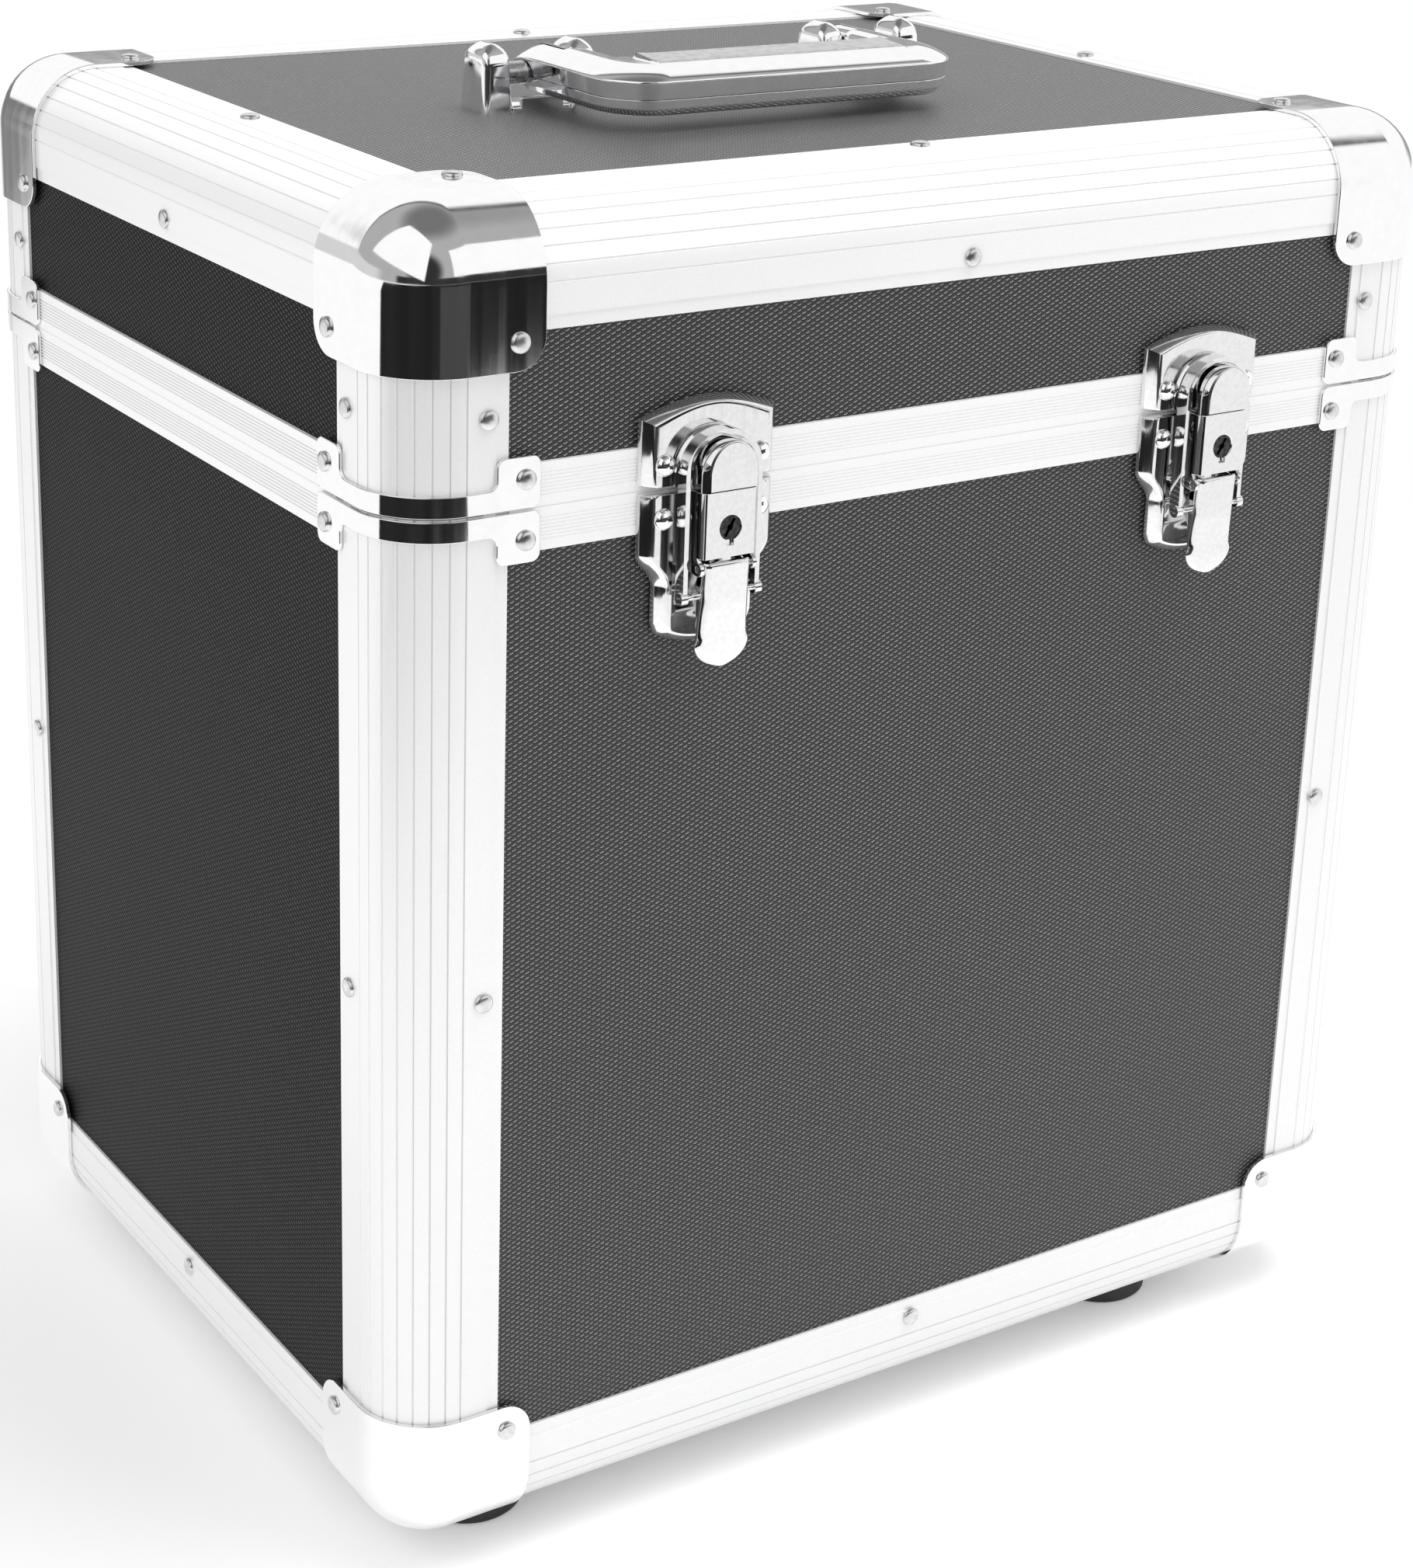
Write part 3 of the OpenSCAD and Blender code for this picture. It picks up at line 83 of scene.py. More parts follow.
def new_material(name):
    material = bpy.data.materials.new(name)
    material.use_nodes = True
    tree = material.node_tree
    tree.nodes.clear()
    out = tree.nodes.new("ShaderNodeOutputMaterial")
    return material, tree, out


def step(tree, kind, inputs=(), **settings):
    """One node: its settings, then pairs of an input and a constant or another node's output."""
    made = tree.nodes.new(kind)
    for label, value in settings.items():
        setattr(made, label, value)
    for label, source in inputs:
        if isinstance(source, bpy.types.NodeSocket):
            tree.links.new(source, made.inputs[label])
        else:
            made.inputs[label].default_value = source
    return made


def sums(tree, operation, a, b=None, c=None):
    """Math node on outputs or numbers."""
    given = [(i, v) for i, v in enumerate((a, b, c)) if v is not None]
    return step(tree, "ShaderNodeMath", given, operation=operation).outputs[0]


def product(tree, *factors):
    whole = factors[0]
    for factor in factors[1:]:
        whole = sums(tree, "MULTIPLY", whole, factor)
    return whole


def ramp(tree, value, low, high, to_low=0.0, to_high=1.0):
    """Smooth step from to_low at low to to_high at high."""
    given = (("Value", value), ("From Min", low), ("From Max", high), ("To Min", to_low),
             ("To Max", to_high))
    return step(tree, "ShaderNodeMapRange", given, interpolation_type="SMOOTHSTEP").outputs["Result"]


def mixed(tree, share, first, second):
    """Mix of two shaders."""
    return step(tree, "ShaderNodeMixShader", (("Fac", share), (1, first), (2, second))).outputs[0]


floor_material, tree, out = new_material("white_sweep")
path = tree.nodes.new("ShaderNodeLightPath").outputs
place = tree.nodes.new("ShaderNodeTexCoord").outputs["Object"]
x, y, z = step(tree, "ShaderNodeSeparateXYZ", ((0, place),)).outputs
lit = step(tree, "ShaderNodeBsdfDiffuse", (("Color", (0.86, 0.86, 0.86, 1)),))
lift_by = sums(tree, "MULTIPLY_ADD", path["Is Camera Ray"], 0.22,
               sums(tree, "MULTIPLY", path["Is Glossy Ray"], 0.25))
lift = step(tree, "ShaderNodeEmission", (("Strength", lift_by),))
near = step(tree, "ShaderNodeAddShader", ((0, lit.outputs[0]), (1, lift.outputs[0])))
glow = step(tree, "ShaderNodeEmission", (("Strength", 1.0),))
away = step(tree, "ShaderNodeVectorMath", ((0, place),), operation="LENGTH").outputs["Value"]
sweep = mixed(tree, ramp(tree, away, 0.35, 1.1), near.outputs[0], glow.outputs[0])
# far behind on the left the floor is in shade, in reflections only
beside = sums(tree, "DIVIDE", x, sums(tree, "MAXIMUM", y, 0.1))
shaded = product(tree, ramp(tree, y, 1.0, 1.8), ramp(tree, x, 0.2, -0.6), ramp(tree, beside, -0.52, -0.44),
                 path["Is Glossy Ray"])
dim = step(tree, "ShaderNodeEmission", (("Strength", 0.22),))
tree.links.new(mixed(tree, shaded, sweep, dim.outputs[0]), out.inputs["Surface"])
flat_sheet("sweep", [(-20, -20, 0), (20, -20, 0), (20, 20, 0), (-20, 20, 0)], floor_material)

world = bpy.data.worlds.new("studio")
scene.world = world
world.use_nodes = True
tree = world.node_tree
tree.nodes.clear()
path = tree.nodes.new("ShaderNodeLightPath").outputs
way = tree.nodes.new("ShaderNodeTexCoord").outputs["Generated"]
x, y, z = step(tree, "ShaderNodeSeparateXYZ", ((0, way),)).outputs
# ceiling: grey towards the camera, a dark edge, then white over the back
over_edge = sums(tree, "DIVIDE", sums(tree, "MULTIPLY_ADD", x, 1.327, y), sums(tree, "MAXIMUM", z, 0.02))
grey = product(tree, ramp(tree, over_edge, 0.86, 1.0, 1.0, 0.35), ramp(tree, z, 0.80, 0.97, 0.42, 0.17))
ceiling = sums(tree, "ADD", ramp(tree, over_edge, 1.0, 1.22, 0.0, 0.85), grey)
# foot of the wall behind: grey, darker in the middle, light at the far left
low = product(tree, ramp(tree, z, 0.19, 0.155), ramp(tree, y, 0.0, 0.3))
aside = sums(tree, "DIVIDE", x, sums(tree, "MAXIMUM", y, 0.02))
wall = sums(tree, "MAXIMUM", ramp(tree, aside, -0.1, 0.3, 0.20, 0.36),
            ramp(tree, aside, -0.39, -0.47, 0.0, 0.66))
level = sums(tree, "MULTIPLY_ADD", sums(tree, "SUBTRACT", wall, ceiling), low, ceiling)
# dark round the camera and low in front
camera_way = (-0.537, -0.795, 0.280)
towards = step(tree, "ShaderNodeVectorMath", ((0, way), (1, camera_way)), operation="DOT_PRODUCT")
front = sums(tree, "DIVIDE", x, sums(tree, "MAXIMUM", sums(tree, "MULTIPLY", y, -1.0), 0.02))
in_front = ramp(tree, y, -0.25, -0.35)
foot = product(tree, ramp(tree, z, 0.15, 0.12), in_front, ramp(tree, front, 0.95, 0.85))
dark = sums(tree, "MAXIMUM", ramp(tree, towards.outputs["Value"], 0.88, 0.96), foot)
level = product(tree, level, sums(tree, "MULTIPLY_ADD", dark, -0.93, 1.0))
# two light banks: a wide one in front to the right, and a tall one with slanting edges to the left
bank = product(tree, ramp(tree, front, 0.05, 0.12), ramp(tree, z, 0.125, 0.155), ramp(tree, z, 0.69, 0.66),
               in_front)
flank = sums(tree, "MAXIMUM", sums(tree, "MULTIPLY", x, -1.0), 0.02)
along = sums(tree, "DIVIDE", y, flank)
rise = sums(tree, "DIVIDE", z, flank)
bank_edges = ((rise, 0.29, along, -1.46, -1.38), (rise, 0.15, along, 0.75, 0.70),
              (along, -0.176, rise, 0.34, 0.39), (along, 0.318, rise, 2.80, 2.68))
tall = product(tree, *[ramp(tree, sums(tree, "MULTIPLY_ADD", one, slope, two), outside, inside)
                       for one, slope, two, outside, inside in bank_edges])
level = sums(tree, "MAXIMUM", level, sums(tree, "MAXIMUM", bank, tall))


def background(tree, strength):
    return step(tree, "ShaderNodeBackground", (("Color", (1, 1, 1, 1)), ("Strength", strength))).outputs[0]


# even light on the object, the studio in reflections, plain white for the camera
room = mixed(tree, path["Is Glossy Ray"], background(tree, 0.80), background(tree, level))
room = mixed(tree, path["Is Camera Ray"], room, background(tree, 1.0))
tree.links.new(room, tree.nodes.new("ShaderNodeOutputWorld").inputs["Surface"])


def soft_box(name, where, aim, wide, high, watts):
    lamp = bpy.data.lights.new(name, "AREA")
    lamp.shape = "RECTANGLE"
    lamp.size = wide
    lamp.size_y = high
    lamp.energy = watts
    made = bpy.data.objects.new(name, lamp)
    scene.collection.objects.link(made)
    made.location = where
    made.rotation_mode = "QUATERNION"
    made.visible_glossy = False
    made.rotation_quaternion = (Vector(aim) - Vector(where)).to_track_quat("-Z", "Y")


soft_box("top_box", (0.5, -0.5, 1.9), (0.0, 0.0, 0.3), 1.1, 1.1, 15)
soft_box("left_box", (-1.3, -0.3, 1.5), (0.0, 0.0, 0.25), 0.8, 0.8, 4)


def card(name, shade, height, corners):
    """Dull sheet just over the floor, seen in reflections only."""
    material, tree, out = new_material(name)
    dull = step(tree, "ShaderNodeEmission", (("Color", (shade, shade, shade, 1)),))
    tree.links.new(dull.outputs[0], out.inputs["Surface"])
    made = flat_sheet(name, [(x, y, height) for x, y in corners], material)
    for kind in ("camera", "diffuse", "shadow", "transmission", "volume_scatter"):
        setattr(made, "visible_" + kind, False)


card("front_card", 0.012, 0.004, [(-9, -1.24), (0.82, -1.24), (1.2, -1.8), (12, -18), (-9, -18)])
card("camera_card", 0.012, 0.004, [(0.30, -0.97), (0.30, -1.24), (-9, -1.24), (-9, 0.0), (-0.82, 0.05),
                                   (-0.72, -0.6), (-0.45, -0.92)])
card("tripod_card", 0.055, 0.006, [(-0.43, -1.24), (0.42, -1.24), (2.9, -6), (-1.6, -6)])


# ---- Board panels ---------------------------------------------------------------------
# Plywood faced with black laminate, pressed all over with staggered slanting dashes.
# The dashes stand proud and shine a little more than the ground between them; each has a painted highlight
# along its ridge and a painted shadow below it.


def group(name, inputs, outputs):
    """Shader node group with its input and output nodes."""
    made = bpy.data.node_groups.new(name, "ShaderNodeTree")
    for label, kind, value in inputs:
        socket = made.interface.new_socket(label, in_out="INPUT", socket_type=kind)
        socket.default_value = value
    for label, kind in outputs:
        made.interface.new_socket(label, in_out="OUTPUT", socket_type=kind)
    return made, made.nodes.new("NodeGroupInput"), made.nodes.new("NodeGroupOutput")


V, F = "NodeSocketVector", "NodeSocketFloat"

# the dashes lie on a slanting lattice: each one points at its upper right neighbour
pressed, a, z = group("pressed_dashes", [("Across", F, 0.0), ("Up", F, 0.0), ("Column", F, 0.0015),
                                         ("Row", F, 0.00077)],
                      [("PaintedCrestHighlight", F), ("PaintedHollowShadow", F), ("Height", F)])
t = pressed
col = sums(t, "DIVIDE", a.outputs["Across"], a.outputs["Column"])
row = sums(t, "DIVIDE", a.outputs["Up"], a.outputs["Row"])
along_cell, over_cell = [
    sums(t, "SUBTRACT", sums(t, "FRACT", sums(t, "MULTIPLY", sums(t, way, col, row), 0.5)), 0.5)
    for way in ("ADD", "SUBTRACT")]
along = sums(t, "MULTIPLY_ADD", over_cell, 1.158, sums(t, "MULTIPLY", along_cell, 1.671))
over = sums(t, "MULTIPLY_ADD", over_cell, -1.226, sums(t, "MULTIPLY", along_cell, 0.226))
bowed = sums(t, "SUBTRACT", over, product(t, along, along, 0.35))
end = sums(t, "ABSOLUTE", along)
within = ramp(t, end, 0.74, 0.44)
body = product(t, ramp(t, sums(t, "ABSOLUTE", bowed), 0.36, 0.12), within)
# painted highlight along the ridge of each dash
painted_crest_highlight = product(t, ramp(t, sums(t, "ABSOLUTE", sums(t, "SUBTRACT", bowed, 0.06)), 0.25, 0.06), within)
# painted shadow along the lower side of each dash
under = product(t, ramp(t, sums(t, "ABSOLUTE", sums(t, "ADD", bowed, 0.30)), 0.26, 0.08),
                ramp(t, end, 0.85, 0.5))
t.links.new(painted_crest_highlight, z.inputs["PaintedCrestHighlight"])
t.links.new(under, z.inputs["PaintedHollowShadow"])
t.links.new(sums(t, "MULTIPLY_ADD", under, -0.4, body), z.inputs["Height"])


def noise(tree, place, scale, detail, distortion=0.0):
    given = (("Vector", place), ("Scale", scale), ("Detail", detail), ("Distortion", distortion))
    return step(tree, "ShaderNodeTexNoise", given).outputs["Fac"]


def blend(tree, share, first, second):
    """Colour between two colours or greys; share 0 gives the first."""
    given = [("Factor", share)]
    for label, value in (("A", first), ("B", second)):
        if isinstance(value, float):
            value = (value, value, value)
        given.append((label, value if isinstance(value, bpy.types.NodeSocket) else (*value, 1)))
    return step(tree, "ShaderNodeMix", given, data_type="RGBA").outputs["Result"]


def bumped(tree, height, strength, distance):
    given = (("Strength", strength), ("Distance", distance), ("Height", height))
    return step(tree, "ShaderNodeBump", given).outputs["Normal"]


def surfaced(tree, out, given):
    """Principled surface with the given inputs."""
    shade = step(tree, "ShaderNodeBsdfPrincipled", given)
    tree.links.new(shade.outputs[0], out.inputs["Surface"])


def laminate(name, across, up, light, ground_shade=0.030, shine=0.5):
    """Pressed laminate in the plane of two axes, by the tones of its ground and of the painted highlight on
    its dashes.
    """
    material, tree, out = new_material(name)
    place = tree.nodes.new("ShaderNodeTexCoord").outputs["Object"]
    at = step(tree, "ShaderNodeSeparateXYZ", ((0, place),)).outputs
    dash = step(tree, "ShaderNodeGroup", (("Across", at[across]), ("Up", at[up])), node_tree=pressed).outputs
    # the painted shadow below each dash darkens the ground
    ground = blend(tree, dash["PaintedHollowShadow"], (ground_shade, ground_shade, ground_shade * 1.02), 0.003)
    fleck = ramp(tree, noise(tree, place, 700.0, 2.0), 0.3, 0.7, 0.55, 1.0)
    cloud = ramp(tree, noise(tree, place, 9.0, 4.0), 0.2, 0.8, 0.85, 1.0)
    # base colour: the painted highlight on each dash over the ground, flecked and clouded
    surfaced(tree, out, (
        ("Base Color", blend(tree, product(tree, dash["PaintedCrestHighlight"], fleck, cloud), ground, light)),
        ("Roughness", ramp(tree, dash["Height"], 0.0, 1.0, 0.50, 0.34)),
        ("Specular IOR Level", shine),
        ("Normal", bumped(tree, dash["Height"], 0.6, 0.00018))))
    return material


# the side panels get a darker copy of the laminate, painted shade; the top panel a lighter copy, a painted
# reflection of the bright sweep, with more shine
front_laminate = laminate("laminate_front", "X", "Z", 0.40)
shaded_side_laminate = laminate("laminate_side_painted_shade", "Y", "Z", 0.11, 0.005, 0.08)
lit_top_laminate = laminate("laminate_top_painted_reflection", "X", "Y", 0.46, 0.085, 1.0)


def finish_node(name, material):
    """The CAD node shows as it is, in one material."""
    mesh = nodes[name].data
    mesh.materials.clear()
    mesh.materials.append(material)
    for face in mesh.polygons:
        face.material_index = 0


for name in ("body_front_panel", "body_rear_panel", "lid_front_panel", "lid_rear_panel"):
    finish_node(name, front_laminate)
for name in ("body_left_panel", "body_right_panel", "lid_left_panel", "lid_right_panel"):
    finish_node(name, shaded_side_laminate)
for name in ("body_bottom_panel", "lid_top_panel"):
    finish_node(name, lit_top_laminate)


# ---- Edge and closure profiles --------------------------------------------------------
# Extruded aluminium, satin etched: a fine speckled grain with faint lines along the draw.
# The roundings are grooved and the closure band is ribbed, both marked by painted shade and painted
# highlight lines; a narrow bead shows in the band's parting line.

grain, a, z = group("etched_grain", [("Place", V, (0, 0, 0)), ("Size", F, 0.0005)],
                    [("Speck", F), ("Draw", F)])
t = grain
scale = sums(t, "DIVIDE", 1.0, a.outputs["Size"])
drawn_out = step(t, "ShaderNodeMapping", (("Vector", a.outputs["Place"]), ("Scale", (1.0, 1.0, 0.02))))
t.links.new(noise(t, a.outputs["Place"], scale, 2.0), z.inputs["Speck"])
t.links.new(noise(t, drawn_out.outputs[0], scale, 3.0), z.inputs["Draw"])

# painted shade lines beside painted highlight lines along the roundings' grooves and across the closure
# band's fine ribs
lines, a, z = group("painted_groove_and_rib_lines", [("Place", V, (0, 0, 0)), ("Ribs", F, 0.0)],
                    [("PaintedShade", F), ("Bright", F)])
t = lines
x, y, height = step(t, "ShaderNodeSeparateXYZ", ((0, a.outputs["Place"]),)).outputs
# distances past the axes of the roundings, which lie 20 mm inside the faces
side_x = sums(t, "SUBTRACT", sums(t, "ABSOLUTE", x), 0.155)
side_y = sums(t, "SUBTRACT", sums(t, "ABSOLUTE", sums(t, "SUBTRACT", y, case_y)), 0.115)
side_z = sums(t, "MAXIMUM", sums(t, "SUBTRACT", height, 0.368), sums(t, "SUBTRACT", 0.030, height))
# seven grooves on each rounding, in millimetres apart
spaces, groove_apart = 7, 4.488
painted_shade_lines, painted_highlight_lines = [], []


def stripe(tree, value, at, none, full):
    """Smooth step by the distance from at: 0 at the distance none, 1 at the distance full."""
    return ramp(tree, sums(tree, "ABSOLUTE", sums(tree, "SUBTRACT", value, at)), none, full)


# a painted shade line and a painted highlight line along each groove, full strength on the upright roundings
for one, two, strength in ((side_x, side_y, 1.0), (side_y, side_z, 0.6), (side_x, side_z, 0.6)):
    turns = sums(t, "MULTIPLY_ADD", sums(t, "ARCTAN2", two, one), spaces * 2 / math.pi, 0.5)
    off_line = sums(t, "MULTIPLY", sums(t, "SUBTRACT", sums(t, "FRACT", turns), 0.5), groove_apart)
    rounded = product(t, ramp(t, one, -0.0006, -0.0004), ramp(t, two, -0.0006, -0.0004), strength)
    painted_shade_lines.append(product(t, rounded, stripe(t, off_line, 0.10, 0.24, 0.08)))
    painted_highlight_lines.append(product(t, rounded, stripe(t, off_line, -0.26, 0.24, 0.08)))
# across each rib of the closure band, a painted shade line and a painted highlight line
for band_middle in (0.3046, 0.3164):
    off_band = sums(t, "SUBTRACT", height, band_middle)
    near = product(t, a.outputs["Ribs"], ramp(t, sums(t, "ABSOLUTE", off_band), 0.0034, 0.0032),
                   ramp(t, side_x, 0.017, 0.019, 0.16, 0.8))
    rib = sums(t, "FRACT", sums(t, "MULTIPLY_ADD", off_band, 1 / 0.00095, 0.5))
    painted_shade_lines.append(product(t, near, stripe(t, rib, 0.5, 0.30, 0.12)))
    painted_highlight_lines.append(product(t, near, stripe(t, rib, 0.5, 0.30, 0.45)))
for label, found in (("PaintedShade", painted_shade_lines), ("Bright", painted_highlight_lines)):
    whole = found[0]
    for more in found[1:]:
        whole = sums(t, "MAXIMUM", whole, more)
    t.links.new(whole, z.inputs[label])


def metal(name, dark, light, rough, metallic=1.0, size=0.0006, bump_by=0.05, depth=0.00002, gloss=0.06,
          ribs=None):
    """Metal grained between two tones; with ribs, it also has the profiles' painted shade and painted
    highlight lines.
    """
    material, tree, out = new_material(name)
    place = tree.nodes.new("ShaderNodeTexCoord").outputs["Object"]
    etch = step(tree, "ShaderNodeGroup", (("Place", place), ("Size", size)), node_tree=grain).outputs
    colour = blend(tree, ramp(tree, etch["Speck"], 0.3, 0.7), dark, light)
    if ribs is not None:
        drawn = step(tree, "ShaderNodeGroup", (("Place", place), ("Ribs", ribs)), node_tree=lines).outputs
        # painted shade and painted highlight lines laid into the colour
        for label, tone, share in (("PaintedShade", 0.36, 0.42), ("Bright", 1.0, 0.9)):
            colour = blend(tree, sums(tree, "MULTIPLY", drawn[label], share), colour, tone)
    surfaced(tree, out, (
        ("Base Color", colour),
        ("Metallic", metallic),
        ("Roughness", ramp(tree, etch["Draw"], 0.3, 0.7, rough - gloss, rough + gloss)),
        ("Normal", bumped(tree, etch["Speck"], bump_by, depth))))
    return material


satin = {"size": 0.00035, "bump_by": 0.10, "gloss": 0.04}
# all three carry the grooves' painted shade and highlight lines; the ribbed one carries those of the ribs
# too
aluminium = metal("satin_aluminium", (0.95, 0.95, 0.955), (0.995, 0.995, 1.0), 0.33, metallic=0.22,
                  ribs=0.0, **satin)
ribbed = metal("ribbed_aluminium", (0.96, 0.96, 0.965), (1.0, 1.0, 1.0), 0.34, metallic=0.15,
               ribs=1.0, **satin)
upright = metal("upright_aluminium", (0.92, 0.92, 0.925), (0.96, 0.96, 0.965), 0.33, metallic=0.30,
                ribs=0.0, **satin)
for name in ("body_corner_profiles", "lid_corner_profiles"):
    finish_node(name, upright)
for name in ("bottom_edge_profiles", "top_edge_profiles"):
    finish_node(name, aluminium)
for name in ("body_closure_profiles", "lid_closure_profiles"):
    finish_node(name, ribbed)


def seam_bead(name, low, high):
    """Narrow root of the closure's tongue, just behind the faces, that shows in the parting line."""
    bm = bmesh.new()
    bmesh.ops.create_cube(bm, size=1.0)
    for vert in bm.verts:
        vert.co = Vector([high[i] if vert.co[i] > 0 else low[i] for i in range(3)])
    mesh = bpy.data.meshes.new(name)
    bm.to_mesh(mesh)
    bm.free()
    mesh.materials.append(aluminium)
    made = bpy.data.objects.new(name, mesh)
    scene.collection.objects.link(made)
    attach(made, "case_body")


half_wide, half_deep, bead_back = 0.175, 0.135, 0.0015
bead_in, bead_low, bead_high = 0.00022, 0.31031, 0.31064
for way, label in ((-1, "front"), (1, "rear")):
    far, near = sorted((way * (half_deep - bead_in) + case_y, way * (half_deep - bead_back) + case_y))
    seam_bead("seam_bead_" + label, (-0.150, far, bead_low), (0.150, near, bead_high))
for way, label in ((-1, "left"), (1, "right")):
    far, near = sorted((way * (half_wide - bead_in), way * (half_wide - bead_back)))
    seam_bead("seam_bead_" + label, (far, -0.107, bead_low), (near, 0.115, bead_high))


# ---- Corner caps and clamps -----------------------------------------------------------
# Deep-drawn sheet steel, polished and chromium plated.  The cut edges are softened, so that they
# catch the light as they do in the photo.

chrome = metal("plated_chrome", (0.955, 0.955, 0.96), (0.98, 0.98, 0.985), 0.07, size=0.004, bump_by=0.04,
               depth=0.00004, gloss=0.03)


def weighted(made, sharp):
    """Sharp beyond the angle; flat faces keep their flat shading beside rounded edges."""
    made.data.set_sharp_from_angle(angle=math.radians(sharp))
    weigh = made.modifiers.new("flats", "WEIGHTED_NORMAL")
    weigh.keep_sharp = True


def softened(node, width, material, body, steps=2):
    """Copy of a CAD node with its facets joined and its edges lightly bevelled."""
    mesh = nodes[node].data.copy()
    mesh.materials.clear()
    mesh.materials.append(material)
    bm = bmesh.new()
    bm.from_mesh(mesh)
    bmesh.ops.remove_doubles(bm, verts=bm.verts, dist=0.000002)
    bmesh.ops.dissolve_limit(bm, angle_limit=math.radians(1.0), verts=bm.verts, edges=bm.edges)
    for face in bm.faces:
        face.material_index = 0
        face.smooth = True
    bm.to_mesh(mesh)
    bm.free()
    made = bpy.data.objects.new(node + "_finish", mesh)
    scene.collection.objects.link(made)
    edge = made.modifiers.new("edge", "BEVEL")
    edge.width = width
    edge.segments = steps
    edge.limit_method = "ANGLE"
    edge.angle_limit = math.radians(30)
    edge.harden_normals = False
    weighted(made, 60)
    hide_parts(node)
    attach(made, body)
    return made


softened("top_corner_caps", 0.0003, chrome, "lid")
softened("bottom_corner_caps", 0.0003, chrome, "case_body")
softened("upper_corner_clamps", 0.0003, chrome, "lid")
softened("lower_corner_clamps", 0.0003, chrome, "case_body")


# ---- Rivets, pins and hinges ----------------------------------------------------------
# Plated steel rivets with domed heads outside and smaller set ends inside, plain steel pins,
# and zinc plated hinge leaves at the back.

rivet_finish = metal("rivet_plating", (0.66, 0.66, 0.67), (0.78, 0.78, 0.79), 0.25, size=0.002,
                     bump_by=0.06, depth=0.00002, gloss=0.04)

heads = bpy.data.node_groups.new("rivet_heads", "GeometryNodeTree")
heads.interface.new_socket("Places", in_out="INPUT", socket_type="NodeSocketGeometry")
heads.interface.new_socket("Roundness", in_out="INPUT", socket_type="NodeSocketFloat").default_value = 0.55
for label, value in (("Around", 28), ("Rings", 7)):
    heads.interface.new_socket(label, in_out="INPUT", socket_type="NodeSocketInt").default_value = value
round_in = [i for i in heads.interface.items_tree if i.name == "Roundness"][0]
finish_in = heads.interface.new_socket("Finish", in_out="INPUT", socket_type="NodeSocketMaterial")
heads.interface.new_socket("Rivets", in_out="OUTPUT", socket_type="NodeSocketGeometry")


given = heads.nodes.new("NodeGroupInput")
across_n = sums(heads, "ADD", given.outputs["Around"], 1)
rings_n = sums(heads, "ADD", given.outputs["Rings"], 1)
sheet = step(heads, "GeometryNodeMeshGrid", (("Vertices X", across_n), ("Vertices Y", rings_n)))
spot = step(heads, "ShaderNodeSeparateXYZ", ((0, step(heads, "GeometryNodeInputPosition").outputs[0]),))
angle = sums(heads, "MULTIPLY", spot.outputs["X"], 2 * math.pi)
fall = sums(heads, "MULTIPLY", sums(heads, "SUBTRACT", 0.5, spot.outputs["Y"]), math.pi / 2)
out_by = sums(heads, "SINE", fall)
bent = step(heads, "ShaderNodeCombineXYZ", (
    ("X", sums(heads, "MULTIPLY", out_by, sums(heads, "COSINE", angle))),
    ("Y", sums(heads, "MULTIPLY", out_by, sums(heads, "SINE", angle))),
    ("Z", sums(heads, "POWER", sums(heads, "MAXIMUM", sums(heads, "COSINE", fall), 0.0),
                given.outputs["Roundness"]))))
domed = step(heads, "GeometryNodeSetPosition",
             (("Geometry", sheet.outputs["Mesh"]), ("Position", bent.outputs[0])))
closed = step(heads, "GeometryNodeMergeByDistance", (("Geometry", domed.outputs[0]), ("Distance", 0.001)))
smooth = step(heads, "GeometryNodeSetShadeSmooth", (("Geometry", closed.outputs[0]),))
aim = step(heads, "GeometryNodeInputNamedAttribute", data_type="FLOAT_VECTOR")
aim.inputs["Name"].default_value = "aim"
size = step(heads, "GeometryNodeInputNamedAttribute", data_type="FLOAT_VECTOR")
size.inputs["Name"].default_value = "size"
facing = step(heads, "FunctionNodeAlignRotationToVector", (("Vector", aim.outputs["Attribute"]),), axis="Z")
placed = step(heads, "GeometryNodeInstanceOnPoints", (
    ("Points", given.outputs["Places"]), ("Instance", smooth.outputs[0]),
    ("Rotation", facing.outputs[0]), ("Scale", size.outputs["Attribute"])))
real = step(heads, "GeometryNodeRealizeInstances", (("Geometry", placed.outputs[0]),))
dressed = step(heads, "GeometryNodeSetMaterial",
               (("Geometry", real.outputs[0]), ("Material", given.outputs["Finish"])))
heads.links.new(dressed.outputs[0], heads.nodes.new("NodeGroupOutput").inputs[0])


def islands(node):
    """Corner points of each separate solid of a CAD node, in the same order in each run."""
    bm = bmesh.new()
    bm.from_mesh(nodes[node].data)
    bmesh.ops.remove_doubles(bm, verts=bm.verts, dist=0.000002)
    left = dict.fromkeys(bm.verts)
    found = []
    while left:
        group_of = [left.popitem()[0]]
        for vert in group_of:
            for edge in vert.link_edges:
                other = edge.other_vert(vert)
                if other in left:
                    del left[other]
                    group_of.append(other)
        found.append([v.co.copy() for v in group_of])
    bm.free()
    return found


